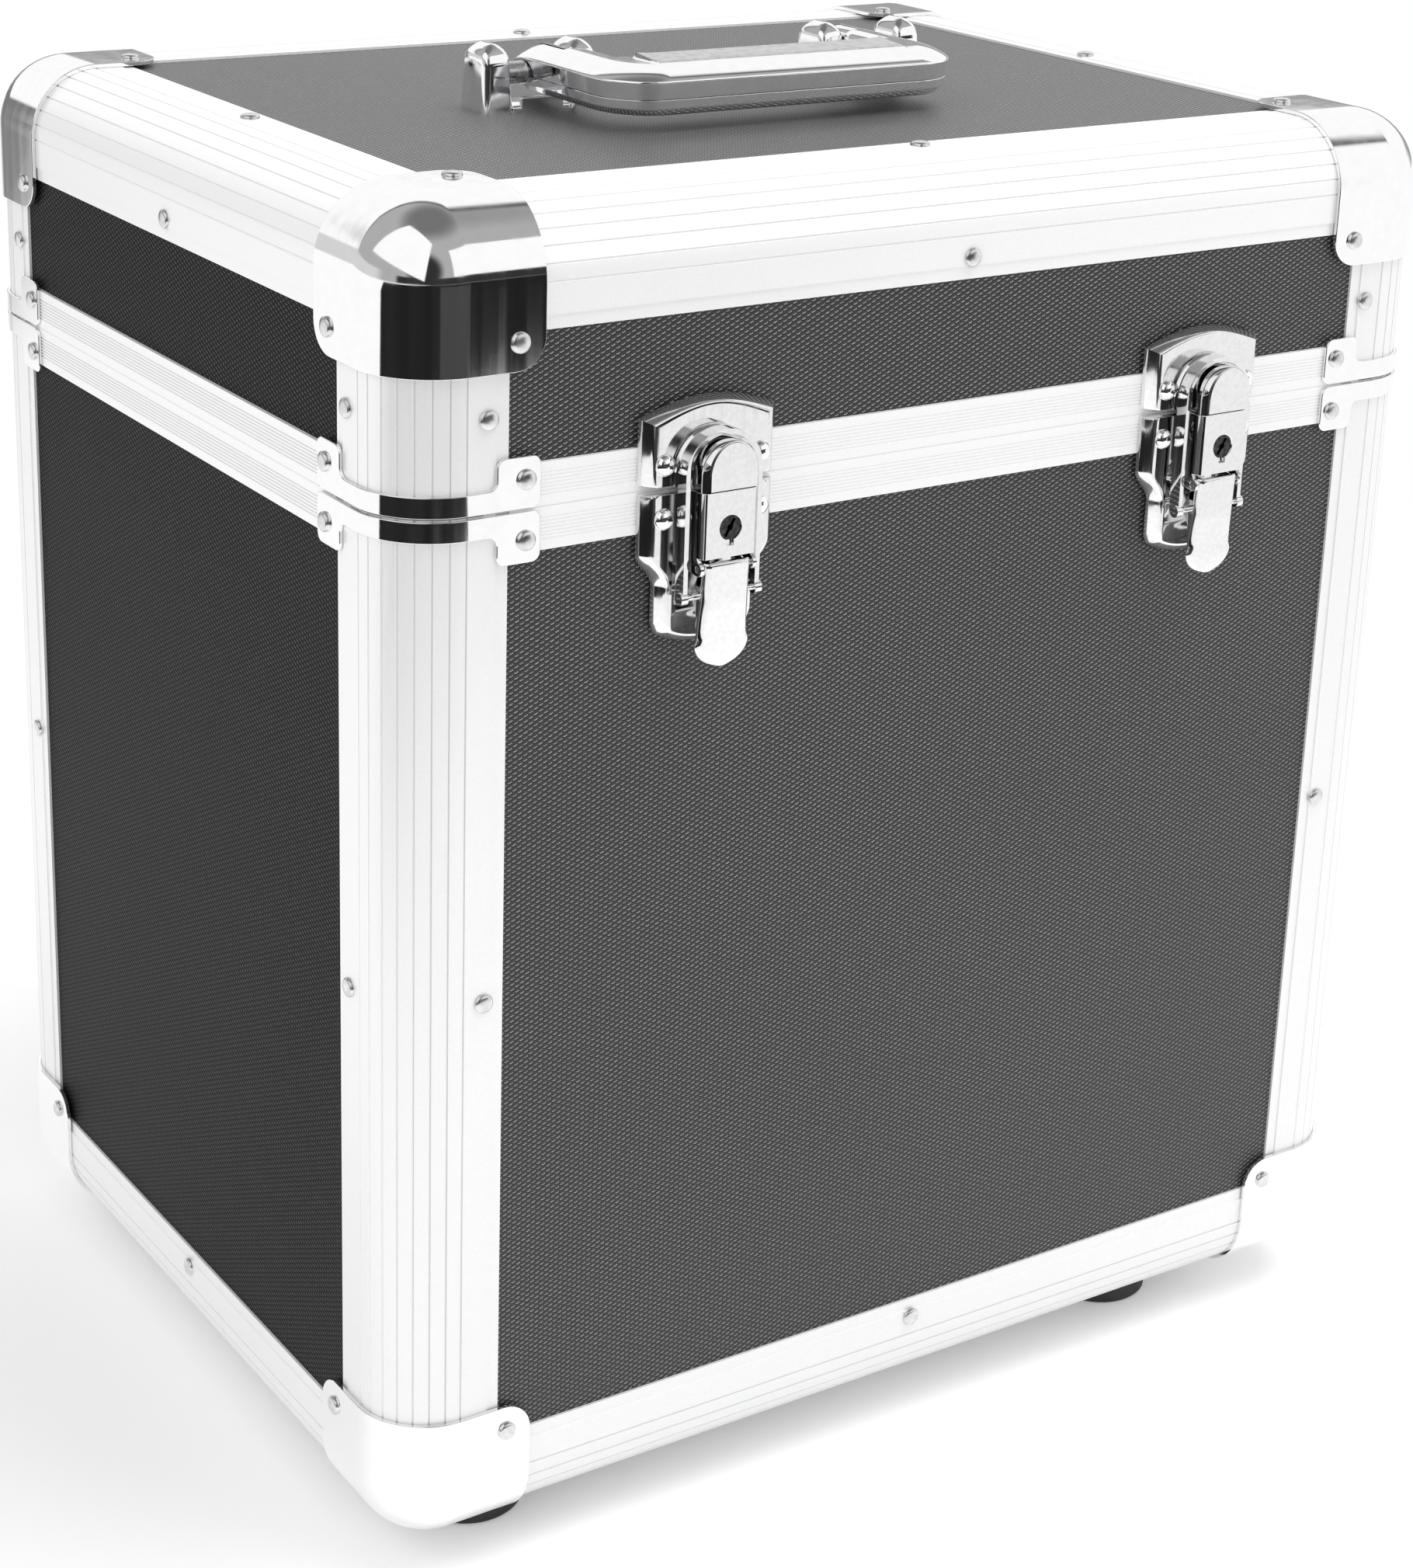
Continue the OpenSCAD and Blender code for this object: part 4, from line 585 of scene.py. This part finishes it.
def riveted(name, body, parts, finish, roundness):
    """Heads and set ends for every rivet of the CAD nodes in parts, given with their head height."""
    half_high, set_wide, set_high = 0.2, 0.84, 0.001
    middle = Vector((0, 0, half_high))
    spots, aims, sizes = [], [], []
    for node, head in parts:
        for points in islands(node):
            low = Vector([min(p[i] for p in points) for i in range(3)])
            high = Vector([max(p[i] for p in points) for i in range(3)])
            span = high - low
            along = max(range(3), key=lambda i: span[i])
            radius = min(span) / 2
            centre = (low + high) / 2
            way = 1.0 if centre[along] > middle[along] else -1.0
            for sign, r, h in ((way, radius, head), (-way, radius * set_wide, set_high)):
                spot = centre.copy()
                spot[along] += sign * (span[along] / 2 - h)
                turn = Vector((0, 0, 0))
                turn[along] = sign
                spots.append(spot)
                aims.append(turn)
                sizes.append(Vector((r, r, h)))
    mesh = bpy.data.meshes.new(name)
    mesh.from_pydata(spots, [], [])
    for label, values in (("aim", aims), ("size", sizes)):
        layer = mesh.attributes.new(label, "FLOAT_VECTOR", "POINT")
        layer.data.foreach_set("vector", [c for v in values for c in v])
    seed = bpy.data.objects.new(name + "_places", mesh)
    scene.collection.objects.link(seed)
    maker = seed.modifiers.new("rivets", "NODES")
    maker.node_group = heads
    maker[finish_in.identifier] = finish
    maker[round_in.identifier] = roundness
    whole = bpy.data.meshes.new_from_object(seed.evaluated_get(bpy.context.evaluated_depsgraph_get()))
    seed.modifiers.clear()
    bpy.data.objects.remove(seed)
    made = bpy.data.objects.new(name, whole)
    scene.collection.objects.link(made)
    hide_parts(*[node for node, head in parts])
    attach(made, body)


riveted("case_rivet_heads", "case_body", (("body_rivets", 0.0013),), rivet_finish, 0.55)
riveted("lid_rivet_heads", "lid", (("lid_rivets", 0.0013),), rivet_finish, 0.55)
riveted("latch_base_rivet_heads", "case_body", (("latch_base_rivets", 0.0020),), chrome, 0.9)
riveted("catch_rivet_heads", "lid", (("catch_rivets", 0.0020),), chrome, 0.9)

steel = metal("plain_steel", (0.42, 0.42, 0.43), (0.60, 0.60, 0.61), 0.30, size=0.0012, bump_by=0.2)
zinc = metal("zinc_plate", (0.55, 0.56, 0.57), (0.70, 0.71, 0.72), 0.27, size=0.003, bump_by=0.1)
for name in ("lever_pins", "hinge_pins", "handle_pins", "foot_screws", "bracket_screws"):
    finish_node(name, steel)
for name in ("body_hinge_leaves", "lid_hinge_leaves"):
    finish_node(name, zinc)


# ---- Latches --------------------------------------------------------------------------
# Over-centre draw latches of pressed and plated sheet: two raised plates, a lock housing with
# its key plug, the lever, a flat strip bail, and the D-shaped catch on its dome.

latch_at = {"left": -0.0846, "right": 0.0846}
parting = 0.3105
face_y = case_y - half_deep
# (out of the band, drawn in by) down the rim of a pressed plate, in millimetres
plate_rim = ((0.0, 0.0), (0.6, 0.14), (1.4, 0.5), (2.3, 1.15), (3.0, 1.7), (3.5, 2.15), (3.82, 2.6),
             (3.96, 3.05), (4.0, 3.6), (4.0, 4.3))


def latch_point(side, x, h, p):
    """Millimetres across, above the parting line and out of the band, as a place in the frame."""
    return Vector((latch_at[side] + x / 1000, face_y - p / 1000, parting + h / 1000))


def ringed(name, rings, material, body, replaced=(), closed=True, sharp=40, flats=False):
    """Skin over a stack of rings with equal counts, capped at the last one and, if closed, the first."""
    bm = bmesh.new()
    loops = [[bm.verts.new(p) for p in ring] for ring in rings]
    for a, b in zip(loops, loops[1:]):
        for i in range(len(a)):
            j = (i + 1) % len(a)
            bm.faces.new((a[i], a[j], b[j], b[i]))
    bm.faces.new(loops[-1])
    if closed:
        bm.faces.new(loops[0])
    bmesh.ops.remove_doubles(bm, verts=bm.verts, dist=0.0000005)
    bmesh.ops.recalc_face_normals(bm, faces=bm.faces)
    for face in bm.faces:
        face.smooth = True
    mesh = bpy.data.meshes.new(name)
    bm.to_mesh(mesh)
    bm.free()
    mesh.materials.append(material)
    made = bpy.data.objects.new(name, mesh)
    scene.collection.objects.link(made)
    mesh.set_sharp_from_angle(angle=math.radians(sharp))
    if flats:
        weighted(made, sharp)
    if replaced:
        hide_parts(*replaced)
    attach(made, body)
    return made


def eased(a, b, s):
    """From a at s = 0 to b at s = 1 along half a cosine wave."""
    return a + (b - a) * (1 - math.cos(math.pi * min(1, max(0, s)))) / 2


def lower_outline(e):
    """Lower plate drawn in by e: wide under the bail, necked by an S curve to a bowed foot."""
    wide, foot, low, neck = 20.75, 15.75, -43.3, -26.0
    top = -0.5 - min(e, 0.3)
    points = [(wide - e - 0.7, top), (wide - e - 0.2, top - 0.2), (wide - e, top - 0.7)]
    for k in range(25):
        h = neck + 10 - k * 11.0 / 24
        points.append((eased(foot, wide, (h - neck) / 9) - e, h))
    for k in range(25):
        x = (foot - e) * math.cos(math.pi * k / 48)
        corner = 2.2 * max(0.0, abs(x) / (foot - e) - 0.93) / 0.07 if k < 24 else 0
        h = low + e + 4.5 * (abs(x) / foot) ** 2.4 + corner
        points.append((x, h))
    return points + [(-x, h) for x, h in reversed(points[:-1])]


def upper_outline(e):
    """Upper plate drawn in by e, with a shallow arched top."""
    half = 20.75 - e
    low = 1.2 + min(e, 0.3)
    side = 0.2 + 23.6 - 4.6
    points = [(half - 0.7, low), (half - 0.2, low + 0.2), (half, low + 0.7)]
    for k in range(33):
        x = half * math.cos(math.pi / 2 * k / 32)
        points.append((x, side + 4.6 * math.cos(math.radians(88 * x / half)) - e * 0.5))
    return points + [(-x, h) for x, h in reversed(points[:-1])]


def arch(half, middle, top, low):
    """Half-round top of the given half width and height, run straight down to low."""
    round_part = [(half * math.cos(math.pi * k / 32), middle + (top - middle) * math.sin(math.pi * k / 32))
                  for k in range(33)]
    return [(half, low)] + round_part + [(-half, low)]


def lever_section(h):
    """Section of the lever at height h: a channel at the pin that flattens to the tongue."""
    flare = eased(7.25, 7.7, (-25.8 - h) / 13) if h > -38.5 else eased(7.7, 8.5, (-38.5 - h) / 3)
    half = flare * max(0.0006, 1 - max(0.0, (-40.2 - h) / 7.3) ** 2.3) ** 0.5
    front = 13.2 - 0.6 * min(1, max(0, (-18.2 - h) / 11.8)) - 0.8 * min(1, max(0, (-30 - h) / 8.5)) \
        - 0.7 * min(1, max(0, (-38.5 - h) / 9)) - 0.5 * max(0.0, (h + 18.9) / 0.7) ** 2
    turn_x = min(2.0, half * 0.5)
    turn_p = eased(2.2, 1.1, (-34 - h) / 8)
    wall = eased(1.8, 0.25, (-24 - h) / 14)
    sheet_t = 0.95
    turns = [math.pi / 2 * k / 6 for k in range(7)]
    outer = [(half - turn_x + turn_x * math.sin(a), front - turn_p * (1 - math.cos(a))) for a in turns]
    outer.append((half, front - turn_p - wall))
    inner = [(half - min(sheet_t, half * 0.3), front - turn_p - wall), (half - turn_x, front - sheet_t)]
    right = outer + inner
    return right + [(-x, p) for x, p in reversed(right)]


# (out of the band, half width) of the catch's dome, and (out, half width, top) of the catch
dome = ((3.5, 11.9), (4.0, 11.9), (4.3, 11.8), (4.65, 11.55), (4.95, 11.2), (5.2, 10.7), (5.36, 10.1),
        (5.45, 9.4), (5.5, 8.6))
catch = ((5.0, 8.8, 14.5), (12.0, 8.8, 14.5), (12.5, 8.7, 14.5), (13.1, 8.3, 14.5), (13.6, 7.8, 14.45),
         (13.85, 7.4, 14.35), (13.96, 7.1, 14.2), (14.0, 6.7, 13.9))
# (height, out) round a cheek of the lever, and the heights of the lever's sections
cheek = ((-21.0, 10.2), (-26.4, 7.1), (-27.2, 6.6), (-28.0, 6.4), (-28.8, 6.6), (-29.6, 7.1), (-33.5, 9.6),
         (-30.0, 10.6), (-21.0, 11.4))
lever_rows = ([-18.2, -18.4, -18.65, -18.9, -19.6] + [-21 - k * 1.3 for k in range(15)]
              + [-40.2, -41, -42, -43, -44, -45, -46, -46.7, -47.2, -47.45])
# a darker copy of the chrome plating for the latches: painted shade that greys their faces
latch_painted_shade_chrome = metal("latch_plating_painted_shade", (0.80, 0.80, 0.805), (0.86, 0.86, 0.865), 0.08, size=0.0014,
                     bump_by=0.02, depth=0.00001, gloss=0.03)
plug_steel = metal("plug_steel", (0.03, 0.03, 0.03), (0.09, 0.09, 0.09), 0.30, size=0.0012, bump_by=0.1)

for side in ("left", "right"):
    own = side + "_"
    lever = own + "lever"
    for name, outline, body, node in (("lower_plate", lower_outline, "case_body", "latch_base"),
                                      ("upper_plate", upper_outline, "lid", "catch_plate")):
        rings = [[latch_point(side, x, h, p) for x, h in outline(e)] for p, e in plate_rim]
        ringed(own + name, rings, latch_painted_shade_chrome, body, [own + node])
    rings = [[latch_point(side, x, h, p) for x, h in arch(r, 4.7, 4.7 + r, 1.2)] for p, r in dome]
    ringed(own + "dome", rings, latch_painted_shade_chrome, "lid")
    rings = [[latch_point(side, x, h, p) for x, h in arch(w, 5.7, top, 1.2 + max(0, p - 13) * 0.3)]
             for p, w, top in catch]
    ringed(own + "catch", rings, latch_painted_shade_chrome, "lid", flats=True)
    softened(own + "lock_housing", 0.0003, latch_painted_shade_chrome, "case_body", 2)
    rings = [[latch_point(side, x, h, p) for x, p in lever_section(h)] for h in lever_rows]
    ringed(own + "lever_channel", rings, latch_painted_shade_chrome, lever, [lever], sharp=50)
    for way in (-1, 1):
        rings = [[latch_point(side, way * x, h, p) for h, p in cheek] for x in (6.3, 7.25)]
        ringed(own + "lever_cheek_%d" % (way + 1), rings, latch_painted_shade_chrome, lever, sharp=50)
    softened(own + "bail", 0.0003, latch_painted_shade_chrome, own + "bail", 3)
    finish_node(own + "key_plug", plug_steel)


# ---- Feet and pads --------------------------------------------------------------------
# Moulded rubber feet, screwed up through a recess and relieved over the corner caps; dense
# felted pads in the base and the lid, held by their crowned edges.

rubber, tree, out = new_material("moulded_rubber")
place = tree.nodes.new("ShaderNodeTexCoord").outputs["Object"]
pores = noise(tree, place, 1400.0, 4.0)
scuff = noise(tree, place, 60.0, 5.0)
surfaced(tree, out, (
    ("Base Color", blend(tree, ramp(tree, scuff, 0.45, 0.7), 0.014, (0.038, 0.037, 0.036))),
    ("Roughness", ramp(tree, scuff, 0.3, 0.7, 0.50, 0.68)),
    ("Normal", bumped(tree, pores, 0.3, 0.00006))))
softened("rubber_feet", 0.0006, rubber, "case_body", 3)

felt, tree, out = new_material("felted_pad")
place = tree.nodes.new("ShaderNodeTexCoord").outputs["Object"]
wool = noise(tree, place, 900.0, 6.0, 1.6)
matted = ramp(tree, noise(tree, place, 45.0, 4.0), 0.3, 0.7, 0.7, 1.2)
surfaced(tree, out, (
    ("Base Color", blend(tree, product(tree, wool, matted), (0.020, 0.020, 0.023), (0.070, 0.070, 0.075))),
    ("Roughness", 0.95),
    ("Sheen Weight", 0.35),
    ("Sheen Roughness", 0.5),
    ("Normal", bumped(tree, wool, 0.7, 0.0004))))


def crowned_pad(node, body, up, dimples=()):
    """Pad of the node's size: flat where it is glued, crowned on its free side, its sides drawn in."""
    low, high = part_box(node)
    centre = (Vector(low) + Vector(high)) / 2
    half = (Vector(high) - Vector(low)) / 2
    across, deep, rows = 84, 60, 5
    glued = centre.z - half.z if up else centre.z + half.z
    thick = 2 * half.z * (1 if up else -1)

    def free(x, y):
        rim = min(half.x * (1 - abs(x)), half.y * (1 - abs(y))) / 0.012
        lift = 1 - (1 - min(1.0, rim)) ** 2.6
        swell = 0.90 + 0.10 * (1 - x * x) * (1 - y * y)
        for dx, dy, radius in dimples:
            far = math.hypot(centre.x + x * half.x - dx, centre.y + y * half.y - dy)
            if far < radius * 2:
                swell *= 0.35 + 0.65 * min(1.0, max(0.0, far / radius - 0.7) / 1.3) ** 0.5
        return glued + thick * (0.45 + 0.55 * lift) * swell

    def drawn(x, y):
        in_x = 1 - 0.012 * (1 - y * y)
        in_y = 1 - 0.012 * (1 - x * x)
        return Vector((centre.x + half.x * x * in_x, centre.y + half.y * y * in_y, 0))

    bm = bmesh.new()
    top = []
    for j in range(deep + 1):
        line = []
        for i in range(across + 1):
            x, y = 2 * i / across - 1, 2 * j / deep - 1
            spot = drawn(x, y)
            spot.z = free(x, y)
            line.append(bm.verts.new(spot))
        top.append(line)
    for j in range(deep):
        for i in range(across):
            bm.faces.new((top[j][i], top[j][i + 1], top[j + 1][i + 1], top[j + 1][i]))
    rim = ([top[0][i] for i in range(across)] + [top[j][across] for j in range(deep)]
           + [top[deep][i] for i in range(across, 0, -1)] + [top[j][0] for j in range(deep, 0, -1)])
    last = rim
    for row in range(1, rows + 1):
        s = row / rows
        ring = []
        for vert in rim:
            spot = vert.co.copy()
            tuck = 1 - 0.006 * math.sin(math.pi * s)
            spot.x = centre.x + (spot.x - centre.x) * tuck
            spot.y = centre.y + (spot.y - centre.y) * tuck
            spot.z = vert.co.z + (glued - vert.co.z) * s
            ring.append(bm.verts.new(spot))
        for i in range(len(rim)):
            j = (i + 1) % len(rim)
            bm.faces.new((last[i], last[j], ring[j], ring[i]))
        last = ring
    bm.faces.new(last)
    bmesh.ops.recalc_face_normals(bm, faces=bm.faces)
    for face in bm.faces:
        face.smooth = True
    mesh = bpy.data.meshes.new(node + "_felt")
    bm.to_mesh(mesh)
    bm.free()
    mesh.materials.append(felt)
    made = bpy.data.objects.new(node + "_felt", mesh)
    scene.collection.objects.link(made)
    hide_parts(node)
    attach(made, body)


handle_x, handle_y = -0.0068, -0.008 + case_y
deck = 0.3868
ear_in, ear_out, ear_wide = 0.0489, 0.0671, 0.010
screw_spots = [(handle_x + s * (x + d * ear_wide / 2), handle_y + 0.0035)
               for s in (-1, 1) for x, d in ((ear_in, -1), (ear_out, 1))]
crowned_pad("base_pad", "case_body", True)
crowned_pad("lid_pad", "lid", False, [(x, y, 0.0055) for x, y in screw_spots])


# ---- Handle ---------------------------------------------------------------------------
# Two die-cast shells screwed together, polished and chromium plated; the arms fold about pins
# between cast, bullet-shaped ears that stand on the top panel.

handle_chrome = metal("handle_plating", (0.94, 0.94, 0.95), (0.97, 0.97, 0.98), 0.06, size=0.004,
                      bump_by=0.02, depth=0.00003, gloss=0.03)
# darker copy of the handle plating for the grip's raised pad: a painted grey reflection
pad_painted_reflection = metal("handle_pad_painted_reflection", (0.42, 0.42, 0.425), (0.56, 0.56, 0.565), 0.14, size=0.003,
                    bump_by=0.05, depth=0.00003, gloss=0.03)
grip_half, reach, arm_wide, grip_deep = 60.0, 53.5, 15.0, 22.0
outer_r, inner_r, neck_in = 16.0, 8.0, 49.2
axis_up = 10.0


def handle_point(x, y, h):
    """Millimetres from the handle's middle and above the top panel, as a place in the frame."""
    return Vector((handle_x + x / 1000, handle_y + y / 1000, deck + h / 1000))


def inner_wall(x):
    """Depth of the finger opening's front wall at x, rounded into the arms."""
    into = max(0.0, abs(x) - (grip_half - arm_wide - inner_r))
    return -reach + grip_deep + inner_r - math.sqrt(max(0.0, inner_r ** 2 - into ** 2))


def grip_path():
    """(outer, inner) places of the walls from the left arm's end round to the right arm's end."""
    left = []
    inner_x = grip_half - arm_wide
    for k in range(9):
        y = 7.75 * math.cos(math.pi / 2 * k / 8)
        left.append(((-grip_half, y), (-neck_in, y), y))
    left.append(((-grip_half, -9.2), (-neck_in, -9.2), 0))
    for y, x in ((-9.9, -neck_in), (-10.15, -neck_in + 0.1), (-10.3, -neck_in + 0.7),
                 (-10.3, -inner_x - 0.7), (-10.45, -inner_x - 0.15), (-10.8, -inner_x)):
        left.append(((-grip_half, y), (x, y), 0))
    for k in range(1, 5):
        s = k / 5
        left.append(((-grip_half, -10.8 + s * (10.8 - reach + outer_r)),
                     (-inner_x, -10.8 + s * (10.8 - reach + grip_deep + inner_r)), 0))
    for k in range(17):
        turn = math.pi + math.pi / 2 * k / 16
        x = -inner_x + (inner_x - grip_half + outer_r) * (k / 16) ** 2
        outside = (-grip_half + outer_r + outer_r * math.cos(turn),
                   -reach + outer_r + outer_r * math.sin(turn))
        left.append((outside, (x, inner_wall(x)), 0))
    for x in (-43.4, -43.2, -43.0, -42.75, -42.5, -42.25, -42.0, -41.8, -41, -40, -39, -38, -37, -36,
              -24, -12):
        left.append(((x, -reach), (x, inner_wall(x)), 0))
    return left


def wall_section(wide):
    """(distance from the outer wall, height) round the grip's section, below then above the seam."""
    lower = [(0.75, 9.25), (0.53, 9.2), (0.49, 9.1), (0.5, 9.0), (0.71, 6.9), (0.73, 6.75), (0.8, 6.6),
             (0.95, 6.4), (2.15, 5.0), (2.35, 4.8), (2.6, 4.67), (2.85, 4.6), (3.2, 4.6)]
    lower += [(wide - q, h) for q, h in reversed(lower)]
    upper = [(0.7, 9.35), (0.5, 9.4), (0.45, 9.5), (0.44, 9.6), (0.01, 13.9), (0, 14.05), (0.05, 14.3),
             (0.3, 14.65), (0.7, 15.0), (1.4, 15.5), (2.4, 16.1), (3.6, 16.7), (5, 17.2), (6.2, 17.5),
             (7.4, 17.7), (8.6, 17.78)]
    upper += [(8.6 + (wide - 12.4) * k / 8, 17.8) for k in range(1, 9)]
    back = ((2.6, 17.75), (1.7, 17.55), (1.0, 17.15), (0.45, 16.5), (0.12, 15.7), (0, 14.9), (0, 14.6),
            (0, 9.6), (0, 9.5), (0.06, 9.4), (0.25, 9.35))
    upper += [(wide - q, h) for q, h in back]
    return lower, upper


def raised(x, q, wide, h):
    """The grip's raised pad: a step at both ends, rising gently to its back edge."""
    end = min(1.0, max(0.0, (43.2 - abs(x)) / 1.3))
    edge = min(1.0, max(0.0, (q - 8.1) / 0.9), max(0.0, (wide - 1.5 - q) / 0.9))
    over = 18.3 + 1.05 * (q - 8.1) / (wide - 9.6) - h
    return h + max(0.0, over) * eased(0, 1, end) * eased(0, 1, edge)


def shell_rings(part):
    """Sections of one shell along the whole grip, left end to right end."""
    rings = []
    path = grip_path()
    for mirror, stations in ((1, path), (-1, list(reversed(path)))):
        for (ox, oy), (ix, iy), y in stations:
            wide = abs(ix - ox) if abs(ox) > grip_half - 0.001 else abs(iy - oy)
            if -grip_half + 0.001 < ox < -grip_half + outer_r - 0.001:
                turned = (ox + grip_half) / outer_r
                wide = arm_wide + (grip_deep + 4.1 - arm_wide) * turned
            round_end = math.sqrt(max(0.0, 1 - (max(y, 0) / 7.8) ** 2))
            ring = []
            for q, h in wall_section(wide)[part]:
                f = q / wide
                x = ox + (ix - ox) * f
                if part == 1 and oy == -reach:
                    h = raised(x, q, wide, h)
                h = axis_up + (h - axis_up) * round_end
                ring.append(handle_point(mirror * x, oy + (iy - oy) * f, h))
            rings.append(ring)
    return rings


ringed("grip_lower_shell", shell_rings(0), handle_chrome, "handle",
       ["handle_lower_shell"], sharp=55)
upper_shell = ringed("grip_upper_shell", shell_rings(1), handle_chrome, "handle",
                     ["handle_upper_shell"], sharp=55)
# the raised pad's faces get the painted grey reflection
upper_shell.data.materials.append(pad_painted_reflection)
pad_over, pad_half = 0.01815, 0.0432
for face in upper_shell.data.polygons:
    on_pad = face.center.z > deck + pad_over and abs(face.center.x - handle_x) < pad_half
    face.material_index = 1 if on_pad else 0


def block_ring(x0, x1, y0, y1, h, corner):
    """Rectangle with rounded corners at one height."""
    ring = []
    for cx, cy, start in ((x1 - corner, y1 - corner, 0), (x0 + corner, y1 - corner, 1),
                          (x0 + corner, y0 + corner, 2), (x1 - corner, y0 + corner, 3)):
        for k in range(7):
            turn = math.pi / 2 * (start + k / 6)
            ring.append(handle_point(cx + corner * math.cos(turn), cy + corner * math.sin(turn), h))
    return ring


def ear_ring(middle, h):
    """One level of an ear: a block with rounded upright edges, drawn in to an arched top."""
    half_x = 5 - 0.7 * h / 14.9 if h < 14.9 else math.sqrt(max(0.0, 4.3 ** 2 - (h - 14.9) ** 2))
    half_y = 7.7 - 0.9 * h / 13.1 if h < 13.1 else math.sqrt(6.8 ** 2 - (h - 13.1) ** 2)
    return block_ring(middle - half_x, middle + half_x, -half_y, half_y, h, min(2.1, half_x * 0.8))


ear_levels = (0, 0.25, 2, 5, 8, 10.5, 12.2, 13.1, 13.9, 14.9, 15.5, 16.1, 16.7, 17.2, 17.7, 18.1, 18.45,
              18.75, 18.95, 19.1, 19.18)
replaced = ["handle_brackets"]
for s in (-1, 1):
    for x, d in ((ear_in, -1), (ear_out, 1)):
        middle = s * (x + d * ear_wide / 2) * 1000
        ringed("bracket_ear_%d_%d" % (s + 1, d + 1), [ear_ring(middle, h) for h in ear_levels],
               handle_chrome, "lid", replaced, sharp=60)
        replaced = []
    x0, x1 = sorted((s * (ear_in * 1000 - 0.5), s * (ear_out * 1000 + 0.5)))
    ringed("bracket_floor_%d" % (s + 1), [block_ring(x0, x1, -7.6 + e, 7.6 - e, h, 0.8)
                                          for h, e in ((0, 0), (1.1, 0), (1.35, 0.1), (1.5, 0.35))],
           handle_chrome, "lid", sharp=60)
    x0, x1 = sorted((s * 51.0, s * 65.0))
    ringed("bracket_rest_%d" % (s + 1), [block_ring(x0 + e, x1 - e, -7.7, -6.3, h, 0.4)
                                         for h, e in ((0, 0), (3.7, 0), (4.1, 0.15), (4.3, 0.5))],
           handle_chrome, "lid", sharp=60)
